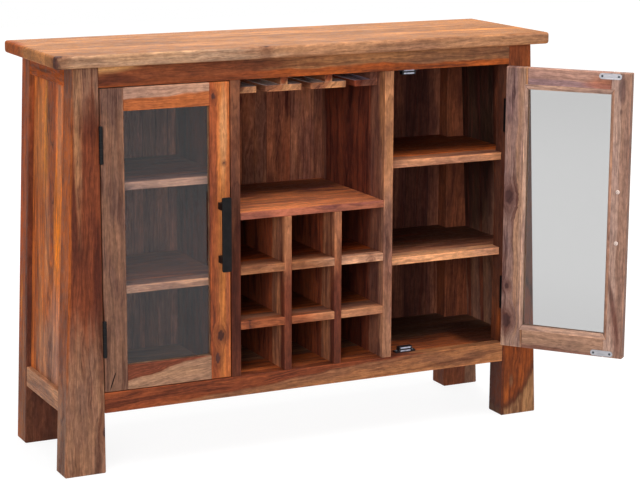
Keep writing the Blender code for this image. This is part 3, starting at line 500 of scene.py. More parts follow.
def skin_group() -> bpy.types.NodeTree:
    """Lays veins, rings, fibres, pores, knots, glue lines and wear over a ground colour.

    Returns:
        The group, which gives the colour, the roughness and the bumped normal.
    """
    group = Group("timber_skin", "Ground", "Streak", "Stain", "Heart", "Vein", "Pale", "Ring", "Cast",
                  "Fibre", "Pore", "Fleck", "Tone", "Joint", "Core", "Halo", "Wear", "Figure", "Gloss")
    (ground, streak, stain, heart, vein, pale, ring, cast, fibre, pore, fleck, tone, joint, core, halo, wear,
     figure, gloss) = group.take
    shown = group.sum("MULTIPLY", vein, figure * heart.scaled(0.40, 0.60), clamp=True)
    colour = group.mix(shown, ground, streak)
    lifted = group.sum("MULTIPLY", pale, figure, clamp=True) * 0.5
    colour = group.mix(lifted, colour, group.tint(ground, PALE_LIFT))
    colour = group.mix(figure, colour, group.tint(colour, group.mix(cast, COOL_CAST, WARM_CAST)))
    shade = ring.scaled(0.36, 0.82) * fibre.scaled(0.30, 0.85) * fleck.scaled(0.30, 0.85)
    shade = shade * tone.scaled(0.40, 0.80)
    colour = group.tint(group.tint(colour, group.join(shade, shade, shade)), stain)
    colour = group.mix((pore * 0.45).greater(joint * 0.72), colour, Tone.PLUM.linear())
    colour = group.mix(halo * 0.5, colour, Tone.MAROON.linear())
    colour = group.mix(core * 0.88, colour, group.mix(ring * 0.5, Tone.KNOT.linear(), Tone.INK.linear()))
    colour = group.mix(wear * 0.55, colour, group.tint(colour, WORN_LIFT))
    rough = group.sum("ADD", (fleck - 0.5).scaled(0.22, gloss), pore * 0.2, clamp=True)
    height = ring.scaled(0.35, fibre * 0.35) - pore * 0.6 - joint * 1.1
    return group.give(Colour=colour, Roughness=rough, Normal=group.bump(height, *TIMBER_BUMP))


class Lay(Enum):
    """The way a board's grain runs and the way its width lies, with both doors shut."""

    FLAT = ((1.0, 0.0, 0.0), (0.0, 1.0, 0.0))
    RAIL = ((1.0, 0.0, 0.0), (0.0, 0.0, 1.0))
    POST = ((0.0, 0.0, 1.0), (1.0, 0.0, 0.0))
    WALL = ((0.0, 0.0, 1.0), (0.0, 1.0, 0.0))
    SIDE_RAIL = ((0.0, 1.0, 0.0), (0.0, 0.0, 1.0))
    RUNNER = ((0.0, 1.0, 0.0), (1.0, 0.0, 0.0))


def points_of(name: str) -> np.ndarray:
    """Reads a node's vertices.

    Args:
        name: the node.

    Returns:
        An array of n by 3, in metres.
    """
    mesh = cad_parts[name].data
    flat = np.empty(len(mesh.vertices) * 3)
    mesh.vertices.foreach_get("co", flat)
    return flat.reshape(-1, 3)


def turned_by(swing: float) -> np.ndarray:
    """Returns the matrix of a door that stands open by an angle."""
    return np.array(Matrix.Rotation(swing, 3, "Z"))


@dataclass(frozen=True)
class Board:
    """Where a board lies: its own axes as columns, its middle and its half sizes along them."""

    axes: np.ndarray
    middle: np.ndarray
    half: np.ndarray

    @classmethod
    def survey(cls, name: str, lay: Lay, swing: float = 0.0) -> "Board":
        """Measures a node along its own grain, width and depth, where depth is grain cross width.

        Args:
            name: the node.
            lay: how it lies with the doors shut.
            swing: how far its door stands open, in radians.

        Returns:
            The board.
        """
        turn = turned_by(swing)
        grain, width = (turn @ np.array(direction) for direction in lay.value)
        axes = np.stack([grain, width, np.cross(grain, width)], axis=1)
        local = points_of(name) @ axes
        low, high = local.min(axis=0), local.max(axis=0)
        return cls(axes, axes @ ((low + high) / 2), (high - low) / 2)

    def mapping(self, graph: Graph) -> Value:
        """Adds the nodes that turn Object coordinates into metres on the board, from its middle.

        Args:
            graph: the material's tree.

        Returns:
            The mapped vector.
        """
        node = graph.node("ShaderNodeMapping", vector_type="TEXTURE")
        node.inputs["Location"].default_value = tuple(float(v) for v in self.middle)
        node.inputs["Rotation"].default_value = tuple(Matrix(self.axes.tolist()).to_euler("XYZ"))
        graph.wire(graph.place(), node.inputs["Vector"])
        return Value(graph, node.outputs[0])


@dataclass(frozen=True)
class Knot:
    """One knot, placed in metres along and across the board from its middle."""

    along: float
    across: float
    radius: float = 0.005
    stretch: float = 1.6


@dataclass(frozen=True)
class Flame:
    """A long patch of another tone, placed in metres from the board's middle; some patches are figure, some
    are painted shade or a painted sheen.
    """

    along: float
    across: float
    reach: float
    spread: float
    tone: Tone
    strength: float = 0.85
    tilt: float = 0.0
    softness: float = 0.45
    depth: float = 0.0
    thickness: float = 10.0
    ragged: float = 1.0


@dataclass(frozen=True)
class Timber:
    """One board's finish: how it lies, its colours, how it was cut from the log, its knots and patches."""

    lay: Lay = Lay.POST
    sap: Tone = Tone.TAN
    heart: Tone = Tone.ORANGE
    vein: Tone = Tone.MAROON
    pith: Tuple[float, float] = (-0.10, -0.05)
    lean: Tuple[float, float] = (0.02, 0.04)
    heart_radius: float = 0.13
    wander: float = 0.026
    softness: float = 0.003
    figure: float = 0.75
    gloss: float = 0.56
    seed: float = 1.0
    stave: float = 0.0
    shift: float = 0.5
    stain: Triple = (1.0, 1.0, 1.0)
    bar_widths: Optional[Tuple[float, float]] = None
    wear: float = 0.0035
    knots: Tuple[Knot, ...] = ()
    flames: Tuple[Flame, ...] = ()

    def below(self, offset: float, slope: float = 0.0) -> "Timber":
        """Returns the timber with its heart below a line that crosses the middle at offset, at a slope."""
        return replace(self, pith=(offset - LOG_RADIUS, 0.0), lean=(slope, 0.0), heart_radius=LOG_RADIUS)

    def above(self, offset: float, slope: float = 0.0) -> "Timber":
        """Returns the timber with its heart above a line that crosses the middle at offset, at a slope."""
        return replace(self, pith=(offset + LOG_RADIUS, 0.0), lean=(slope, 0.0), heart_radius=LOG_RADIUS)

    def material(self, name: str, board: Board, workshop: "Workshop") -> bpy.types.Material:
        """Makes the board's own material.

        Args:
            name: the material's name.
            board: where the board lies.
            workshop: the shared node groups.

        Returns:
            The material.
        """
        material, graph, shader = open_material(name)
        place = bent = board.mapping(graph)
        half = tuple(float(v) for v in board.half)
        joint, tone, core, halo = 0.0, 0.5, 0.0, 0.0
        if self.bar_widths is not None:
            turned = graph.call(workshop.mitre, Vector=place, Half=half, Bars=(*self.bar_widths, 1.0))
            bent, joint = turned["Vector"], turned["Joint"]
        for knot in self.knots:
            drawn = graph.call(workshop.knot, Vector=bent, Centre=(knot.along, knot.across, 0.0),
                               Radius=knot.radius, Stretch=knot.stretch)
            bent, core, halo = drawn["Vector"], drawn["Core"].greater(core), drawn["Halo"].greater(halo)
        if self.stave > 0.0:
            cut = graph.call(workshop.staves, Vector=bent, Width=self.stave, Shift=self.shift, Seed=self.seed)
            bent, tone, joint = cut["Vector"], cut["Tone"], cut["Joint"]
        log = graph.call(workshop.figure, Vector=bent, Seed=self.seed * 3.7, Pith=(0.0, *self.pith),
                         Lean=(0.0, *self.lean), Girth=self.heart_radius, Wander=self.wander,
                         Softness=self.softness)
        ground = graph.mix(log["Heart"], self.sap.linear(), self.heart.linear())
        for index, flame in enumerate(self.flames):
            patch = graph.call(workshop.flame, Vector=place, Centre=(flame.along, flame.across, flame.depth),
                               Size=(flame.reach, flame.spread, flame.thickness), Tilt=flame.tilt,
                               Softness=flame.softness, Ragged=flame.ragged, Seed=self.seed + index * 1.9)
            ground = graph.mix(patch["Mask"] * flame.strength, ground, flame.tone.linear())
        grain = graph.call(workshop.fibre, Vector=bent, Seed=self.seed)
        worn = graph.call(workshop.wear, Vector=place, Half=half, Width=self.wear)
        skin = graph.call(workshop.skin, Ground=ground, Streak=self.vein.linear(), Stain=(*self.stain, 1.0),
                          Tone=tone, Joint=joint, Core=core, Halo=halo, Figure=self.figure, Gloss=self.gloss,
                          **log, **grain, **worn)
        for label, socket in (("Colour", "Base Color"), ("Roughness", "Roughness"), ("Normal", "Normal")):
            graph.wire(skin[label], shader.inputs[socket])
        shader.inputs["Specular IOR Level"].default_value = TIMBER_SHINE
        return material


@dataclass
class Workshop:
    """The shared node groups that every timber finish calls. All lengths are metres on the board."""

    staves: bpy.types.NodeTree = field(default_factory=staves_group)
    figure: bpy.types.NodeTree = field(default_factory=figure_group)
    fibre: bpy.types.NodeTree = field(default_factory=fibre_group)
    knot: bpy.types.NodeTree = field(default_factory=knot_group)
    flame: bpy.types.NodeTree = field(default_factory=flame_group)
    wear: bpy.types.NodeTree = field(default_factory=wear_group)
    mitre: bpy.types.NodeTree = field(default_factory=mitre_group)
    skin: bpy.types.NodeTree = field(default_factory=skin_group)

    def finish(self, body: str, timbers: Dict[str, Timber], swing: float = 0.0) -> None:
        """Gives each board a material of its own.

        Args:
            body: the body that the boards are in.
            timbers: what each node is cut from.
            swing: how far the body stands open, in radians.
        """
        for name, timber in timbers.items():
            board = Board.survey(name, timber.lay, swing)
            dress(name, timber.material(f"timber_{name}", board, self))
            LOG.info("%s: timber %s, %s", body, name, timber.heart.name.lower())


def empty_graph(block: Union[bpy.types.Material, bpy.types.World]) -> Graph:
    """Empties the node tree of a material or a world.

    Args:
        block: what has the tree.

    Returns:
        The empty graph.
    """
    block.use_nodes = True
    block.node_tree.nodes.clear()
    return Graph(block.node_tree)


def open_material(name: str) -> Tuple[bpy.types.Material, Graph, bpy.types.Node]:
    """Starts a material with one Principled shader.

    Args:
        name: the material's name.

    Returns:
        The material, its graph and the shader.
    """
    material = bpy.data.materials.new(name)
    graph = empty_graph(material)
    shader = graph.node("ShaderNodeBsdfPrincipled")
    graph.node("ShaderNodeOutputMaterial", {"Surface": shader})
    return material, graph, shader


@dataclass(frozen=True)
class MetalFinish:
    """A metal or hard plastic: its two colours, its gloss and the grain of its surface."""

    colour: str
    second: str
    metallic: float
    roughness: float
    grain: Triple
    relief: float
    specular: float = 0.5

    def material(self, name: str) -> bpy.types.Material:
        """Makes the material: a noise mixes the two colours and moves the roughness and the bump.

        Args:
            name: the material's name.

        Returns:
            The material.
        """
        material, graph, shader = open_material(name)
        place = graph.place() * self.grain
        coarse = place.noise(4.0, 0.6)
        fine = (place * FINER).noise()
        colour = graph.mix(coarse.ease(0.35, 0.68), linear_colour(self.colour), linear_colour(self.second))
        graph.wire(colour, shader.inputs["Base Color"])
        graph.wire(coarse.scaled(0.25, self.roughness - 0.12), shader.inputs["Roughness"])
        graph.wire(graph.bump(fine, 0.5, self.relief), shader.inputs["Normal"])
        shader.inputs["Metallic"].default_value = self.metallic
        shader.inputs["Specular IOR Level"].default_value = self.specular
        return material


@dataclass(frozen=True)
class GlassFinish:
    """A clear pane with a grey cast, through which the lamps light what lies behind it."""

    colour: str
    ior: float = 1.5

    def material(self, name: str) -> bpy.types.Material:
        """Makes the material.

        Args:
            name: the material's name.

        Returns:
            The material.
        """
        material, graph, shader = open_material(name)
        shader.inputs["Base Color"].default_value = linear_colour(self.colour)
        shader.inputs["Roughness"].default_value = 0.0
        shader.inputs["IOR"].default_value = self.ior
        shader.inputs["Transmission Weight"].default_value = 1.0
        clear = graph.node("ShaderNodeBsdfTransparent", {"Color": linear_colour(self.colour)})
        shadow = Value(graph, graph.node("ShaderNodeLightPath").outputs["Is Shadow Ray"])
        pick = graph.node("ShaderNodeMixShader", {0: shadow, 1: shader, 2: clear})
        graph.wire(pick, graph.tree.nodes["Material Output"].inputs["Surface"])
        return material


class Finish(Enum):
    """The finishes that are not timber."""

    BLACK_IRON = MetalFinish("#080708", "#151213", 0.0, 0.5, (90.0, 90.0, 90.0), 0.0002, 0.14)
    ZINC_PLATE = MetalFinish("#939297", "#B2AFB3", 1.0, 0.38, (40.0, 40.0, 900.0), 0.00005)
    BRIGHT_STEEL = MetalFinish("#5A6068", "#8C939C", 1.0, 0.34, (200.0, 200.0, 200.0), 0.00005)
    DULL_STEEL = MetalFinish("#2E3338", "#4E565E", 0.6, 0.42, (200.0, 200.0, 200.0), 0.00005)
    NICKEL_SCREW = MetalFinish("#CDB6AB", "#DFC9BE", 0.2, 0.50, (120.0, 120.0, 120.0), 0.00003)
    # painted glint: the steel poles are pale and only partly metallic, so they look bright whatever they
    # reflect
    POLE_STEEL = MetalFinish("#9A9EB4", "#C6C9D4", 0.35, 0.40, (200.0, 200.0, 200.0), 0.00003)
    CATCH_PLASTIC = MetalFinish("#100D12", "#211B1D", 0.0, 0.42, (150.0, 150.0, 150.0), 0.0001, 0.3)
    CLEAR_GLASS = GlassFinish("#CFD1D6", 1.38)
    GREY_GLASS = GlassFinish("#BABABA")


Finishes = Dict[Finish, bpy.types.Material]


def dress(name: str, material: bpy.types.Material) -> None:
    """Puts a material in all slots of a node.

    Args:
        name: the node.
        material: its finish.
    """
    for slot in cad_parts[name].material_slots:
        slot.material = material


def add_object(name: str, data: bpy.types.ID) -> bpy.types.Object:
    """Links a new object to the scene.

    Args:
        name: its name.
        data: what it shows.

    Returns:
        The object.
    """
    item = bpy.data.objects.new(name, data)
    bpy.context.scene.collection.objects.link(item)
    return item


def surface_mesh(name: str, points: np.ndarray) -> bpy.types.Mesh:
    """Makes closed shells from grids of rings, whose first and last ring are poles.

    Face k of ring i joins points (i, k), (i, k + 1), (i + 1, k + 1) and (i + 1, k), and doubles are merged.

    Args:
        name: the mesh's name.
        points: an array of copies by rings by spokes by 3.

    Returns:
        The mesh.
    """
    copies, rings, spokes = points.shape[:3]
    ring, spoke = np.meshgrid(np.arange(rings - 1), np.arange(spokes), indexing="ij")
    after = (spoke + 1) % spokes
    one = np.stack([ring * spokes + spoke, ring * spokes + after, (ring + 1) * spokes + after,
                    (ring + 1) * spokes + spoke], axis=-1).reshape(-1, 4)
    faces = (one[None] + (np.arange(copies) * rings * spokes)[:, None, None]).reshape(-1, 4)
    mesh = bpy.data.meshes.new(name)
    mesh.from_pydata(points.reshape(-1, 3).tolist(), [], faces.tolist())
    shell = bmesh.new()
    shell.from_mesh(mesh)
    bmesh.ops.remove_doubles(shell, verts=shell.verts, dist=1e-7)
    bmesh.ops.recalc_face_normals(shell, faces=shell.faces)
    shell.to_mesh(mesh)
    shell.free()
    mesh.polygons.foreach_set("use_smooth", np.ones(len(mesh.polygons), dtype=bool))
    return mesh


def fit_piece(name: str, points: np.ndarray, material: bpy.types.Material, body: str) -> None:
    """Makes a new piece, finishes it and lets it ride.

    Args:
        name: the piece's name.
        points: its shells, copies by rings by spokes by 3.
        material: its finish.
        body: the body that it moves with.
    """
    piece = add_object(name, surface_mesh(name, points))
    piece.data.materials.append(material)
    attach(piece, body)
    LOG.info("%s: piece %s, %d faces", body, piece.name, len(piece.data.polygons))


@dataclass(frozen=True)
class CrossScrew:
    """The head of a cross-recessed screw.

    Over a disc of radius R the head stands rise * sqrt(1 - 0.9 r^2 / R^2) high, less the depth of a cross
    whose arms are 0.16 R to each side and 0.66 R long, and a skirt goes down behind it to a flat seat.
    """

    radius: float
    rise: float
    recess: float
    skirt: float = 0.0004
    rings: int = 12
    spokes: int = 40
    first_turn: float = 0.3
    next_turn: float = 0.9

    def shell(self) -> np.ndarray:
        """Works out one head that looks along +Z from the origin.

        Returns:
            An array of rings by spokes by 3.
        """
        turn = np.linspace(0.0, 2.0 * np.pi, self.spokes, endpoint=False)
        share = np.linspace(0.0, 1.0, self.rings - 2)
        rho, theta = np.meshgrid(share, turn, indexing="ij")
        x, y = rho * np.cos(theta), rho * np.sin(theta)
        dome = self.rise * np.sqrt(1.0 - 0.9 * rho ** 2)
        near = np.minimum(np.abs(x), np.abs(y))
        far = np.maximum(np.abs(x), np.abs(y))
        cross = np.clip((0.16 - near) / 0.07, 0.0, 1.0) * np.clip((0.66 - far) / 0.12, 0.0, 1.0)
        top = np.stack([self.radius * x, self.radius * y, dome - self.recess * cross], axis=-1)
        down = np.array([0.0, 0.0, -self.skirt])
        rim = top[-1] * np.array([1.0, 1.0, 0.0]) + down
        return np.concatenate([top, rim[None], (np.zeros_like(rim) + down)[None]], axis=0)

    def heads(self, places: np.ndarray, outward: np.ndarray) -> np.ndarray:
        """Sets a head on each place, each with its cross turned further.

        Args:
            places: where the seats are, n by 3.
            outward: the way that the heads look.

        Returns:
            An array of n by rings by spokes by 3.
        """
        axis = outward / np.linalg.norm(outward)
        side = np.cross(axis, np.array([0.31, 0.22, 0.92]))
        side /= np.linalg.norm(side)
        up = np.cross(axis, side)
        angles = self.first_turn + np.arange(len(places)) * self.next_turn
        cosine, sine = np.cos(angles)[:, None, None], np.sin(angles)[:, None, None]
        shell = self.shell()[None]
        x = shell[..., 0] * cosine - shell[..., 1] * sine
        y = shell[..., 0] * sine + shell[..., 1] * cosine
        z = np.broadcast_to(shell[..., 2], x.shape)
        return x[..., None] * side + y[..., None] * up + z[..., None] * axis + places[:, None, None]


@dataclass(frozen=True)
class SoftBlock:
    """A block with rounded arrises, as a superellipsoid grid.

    With u from pole to pole and v around, each coordinate is half * sign(c) * |c| ** power of the sphere's
    own c, so a power near 0 squares it off.
    """

    half: Triple
    power: float = 0.16
    rings: int = 17
    spokes: int = 32

    def squared(self, wave: np.ndarray) -> np.ndarray:
        """Returns sign(wave) * |wave| ** power."""
        return np.sign(wave) * np.abs(wave) ** self.power

    def blocks(self, middles: Sequence[np.ndarray]) -> np.ndarray:
        """Works out the grids of several blocks.

        Args:
            middles: where they are.

        Returns:
            An array of copies by rings by spokes by 3.
        """
        u = np.linspace(-np.pi / 2, np.pi / 2, self.rings)
        v = np.linspace(-np.pi, np.pi, self.spokes, endpoint=False) + np.pi / self.spokes
        lift, turn = np.meshgrid(u, v, indexing="ij")
        flat = np.abs(np.cos(lift)) ** self.power
        parts = (flat * self.squared(np.cos(turn)), flat * self.squared(np.sin(turn)),
                 self.squared(np.sin(lift)))
        grid = np.stack(parts, axis=-1) * np.array(self.half)
        return np.stack([grid + middle for middle in middles])


@dataclass
class Joinery:
    """A set of boards that stand still."""

    workshop: Workshop

    def timbers(self) -> Dict[str, Timber]:
        """Returns what each board is cut from."""
        raise NotImplementedError

    def build(self) -> None:
        """Dresses the boards."""
        self.workshop.finish(CARCASS, self.timbers())


@dataclass
class Carcass(Joinery):
    """The top, the legs, the rails, the framed sides, the back and the floor."""

    top_stave: float = 0.0718
    panel_stave: float = 0.060
    back_board: float = 0.0625
    floor_stave: float = 0.083

    def timbers(self) -> Dict[str, Timber]:
        """Returns what each board is cut from."""
        panel = self.panel()
        return {"top_board": self.top(), **self.legs(), **self.rails(), "side_panel_left": panel,
                "side_panel_right": replace(
                    panel, sap=Tone.BROWN, heart=Tone.RED_BROWN, seed=11.3, stain=(0.92, 1.02, 1.20),
                    flames=(Flame(0.05, 0.05, 0.2, 0.012, Tone.BROWN, 0.8),
                            Flame(-0.2, -0.05, 0.15, 0.03, Tone.RUST),
                            # painted shade: the INK patch, held to the inner face by its depth, darkens the
                            # right panel's inside
                            Flame(0.0, 0.09, 0.7, 0.15, Tone.INK, 0.88, softness=0.15, depth=0.019,
                                  thickness=0.020, ragged=0.3))),
                "back_boards": self.back(), "floor_board": self.floor()}

    def top(self) -> Timber:
        """Returns what the top board is cut from."""
        return Timber(
            Lay.FLAT, Tone.TAN, Tone.HONEY, Tone.BROWN, pith=(-0.05, -0.12), lean=(0.01, 0.03),
            heart_radius=0.125, figure=0.5, gloss=0.68, seed=2.3, stave=self.top_stave,
            stain=(0.99, 0.81, 0.59), wear=0.006,
            knots=(Knot(-0.592, -0.168, 0.010, 1.2), Knot(-0.12, -0.171, 0.004, 2.0)),
            flames=(Flame(-0.60, 0.12, 0.02, 0.07, Tone.RUST, 0.8),
                    Flame(0.10, -0.178, 0.52, 0.007, Tone.DRAB, 0.9, softness=0.3),
                    Flame(-0.40, -0.178, 0.26, 0.007, Tone.ASH, 0.6, softness=0.3)))

    def panel(self) -> Timber:
        """Returns what the left side's panel is cut from."""
        return Timber(
            Lay.WALL, Tone.ORANGE, Tone.RUST, pith=(-0.02, -0.05), lean=(0.02, 0.03), heart_radius=0.09,
            figure=0.8, seed=5.4, stave=self.panel_stave, stain=(1.20, 1.22, 1.24),
            flames=(Flame(0.20, 0.060, 0.11, 0.055, Tone.HONEY, 0.3, softness=0.6),
                    Flame(0.04, -0.055, 0.16, 0.026, Tone.AMBER, 0.8),
                    Flame(0.24, -0.06, 0.16, 0.014, Tone.BROWN, 0.7),
                    Flame(0.22, 0.03, 0.14, 0.012, Tone.GOLD, 0.8),
                    Flame(-0.10, 0.06, 0.20, 0.016, Tone.HONEY, 0.3, 0.08),
                    Flame(-0.03, 0.080, 0.13, 0.030, Tone.RUST, 0.6),
                    Flame(-0.02, 0.012, 0.12, 0.016, Tone.TAN, 0.35),
                    Flame(-0.215, 0.078, 0.10, 0.030, Tone.RED_BROWN, 0.45),
                    Flame(-0.24, -0.045, 0.13, 0.034, Tone.GREY_TAN, 0.45),
                    Flame(-0.29, -0.01, 0.09, 0.08, Tone.GREY_TAN, 0.6)))

    def back(self) -> Timber:
        """Returns what the back boards are cut from."""
        return Timber(
            Lay.POST, Tone.BROWN, Tone.RED_BROWN, pith=(0.0, -0.06), heart_radius=0.10, figure=0.9, seed=7.7,
            stave=self.back_board, stain=(1.10, 0.98, 1.08),
            flames=(Flame(0.22, -0.04, 0.26, 0.16, Tone.TAN, 0.35),
                    # painted shade: the PLUM band darkens the back near the right-hand corner
                    Flame(0.0, 0.43, 0.6, 0.06, Tone.PLUM, 0.75)))

    def floor(self) -> Timber:
        """Returns what the floor board is cut from."""
        return Timber(
            Lay.FLAT, Tone.BROWN, Tone.RUST, seed=4.8, stave=self.floor_stave, stain=(1.10, 1.25, 1.40),
            flames=(Flame(0.33, -0.10, 0.16, 0.03, Tone.RUST, 0.6),
                    # painted shade: the two INK patches darken the floor's right-hand end, which lies in deep
                    # shadow
                    Flame(0.36, 0.06, 0.24, 0.10, Tone.INK, 0.8),
                    Flame(0.50, -0.08, 0.075, 0.12, Tone.INK, 0.85, softness=0.3, ragged=0.5)))

    @staticmethod
    def legs() -> Dict[str, Timber]:
        """Picks the timber of the legs.

        Returns:
            What each leg is cut from.
        """
        leg = Timber(Lay.POST, Tone.BROWN, Tone.RED_BROWN, figure=0.6)
        return {
            "leg_front_left": replace(
                leg, seed=1.1, stain=(0.76, 0.72, 0.69),
                knots=(Knot(-0.352, 0.046, 0.007, 2.6), Knot(0.376, 0.023, 0.003, 1.6)),
                flames=(Flame(0.40, 0.02, 0.07, 0.04, Tone.GREY_TAN, 0.9),
                        Flame(0.33, 0.0, 0.20, 0.010, Tone.TAN, 0.75),
                        Flame(0.14, 0.026, 0.22, 0.024, Tone.RED_BROWN, 0.95),
                        Flame(0.12, -0.014, 0.13, 0.006, Tone.PLUM, 0.45),
                        Flame(-0.03, 0.036, 0.17, 0.009, Tone.MAROON, 0.8),
                        Flame(-0.33, 0.0, 0.20, 0.08, Tone.GREY_TAN, 0.85),
                        Flame(0.335, 0.026, 0.05, 0.022, Tone.MAROON, 0.55, ragged=0.6),
                        Flame(0.12, -0.026, 0.34, 0.008, Tone.ORANGE, 0.88, 0.041))).below(0.05, 0.02),
            "leg_front_right": replace(
                leg, sap=Tone.RED_BROWN, seed=2.9, stain=(1.08, 1.06, 0.80),
                flames=(Flame(0.3, 0.0, 0.3, 0.06, Tone.RED_BROWN, 0.8),
                        Flame(-0.44, 0.0, 0.16, 0.2, Tone.GREY_TAN, 0.75, softness=0.3),
                        Flame(-0.25, -0.047, 0.176, 0.098, Tone.MAROON, 0.9, softness=0.04, ragged=0.18),
                        Flame(-0.25, -0.047, 0.164, 0.089, Tone.RUST, 0.75, softness=0.06, ragged=0.18),
                        Flame(-0.36, -0.021, 0.014, 0.005, Tone.GREY_TAN, 0.6, softness=0.6, ragged=0.4),
                        Flame(-0.385, -0.036, 0.020, 0.008, Tone.ORANGE, 0.5, softness=0.6, ragged=0.4),
                        Flame(0.12, -0.047, 0.36, 0.006, Tone.KNOT, 0.85, softness=0.3),
                        Flame(-0.42, -0.047, 0.18, 0.006, Tone.PLUM, 0.85, softness=0.3))),
            "leg_rear_left": replace(
                leg, lay=Lay.WALL, heart=Tone.ORANGE, seed=4.2, stain=(0.95, 0.78, 0.62),
                flames=(Flame(0.12, 0.004, 0.30, 0.050, Tone.RUST, 0.7),
                        Flame(0.06, -0.022, 0.26, 0.008, Tone.KNOT, 0.6),
                        Flame(-0.10, 0.012, 0.06, 0.008, Tone.GOLD, 0.9),
                        Flame(-0.33, 0.0, 0.14, 0.06, Tone.BROWN, 0.8),
                        Flame(-0.30, -0.0295, 0.30, 0.007, Tone.KNOT, 0.8, softness=0.3))).above(0.0),
            "leg_rear_right": replace(leg, seed=6.4, stain=(1.1, 1.27, 1.4)),
        }

    @staticmethod
    def rails() -> Dict[str, Timber]:
        """Picks the timber of the front and side rails.

        Returns:
            What each rail is cut from.
        """
        rail = Timber(Lay.RAIL, Tone.BROWN, Tone.RUST, figure=0.8)
        side = replace(rail, lay=Lay.SIDE_RAIL)
        return {
            "front_rail_top": replace(
                rail, seed=3.3, stain=(0.98, 1.0, 0.84),
                flames=(Flame(-0.30, 0.0, 0.26, 0.03, Tone.MAROON, 0.9),
                        Flame(-0.34, 0.0, 0.17, 0.03, Tone.RED_BROWN, 0.6),
                        Flame(-0.46, -0.008, 0.05, 0.012, Tone.MAROON, 0.9),
                        Flame(-0.475, 0.021, 0.055, 0.011, Tone.TAN, 0.9))).below(-0.006),
            "front_rail_bottom": replace(
                rail, heart=Tone.RED_BROWN, seed=8.1, stain=(1.12, 1.06, 0.88),
                flames=(Flame(-0.42, -0.018, 0.10, 0.012, Tone.RED_BROWN, 0.8),)).above(0.006, 0.064),
            "side_rail_top_left": replace(side, sap=Tone.ORANGE, seed=1.7, stain=(1.20, 0.98, 0.14)),
            "side_rail_bottom_left": replace(side, sap=Tone.TAN, seed=2.2,
                                             stain=(0.92, 0.87, 0.94)).above(0.04),
            "side_rail_top_right": replace(side, seed=9.4).below(0.0),
            "side_rail_bottom_right": replace(side, seed=5.8).above(0.01),
        }


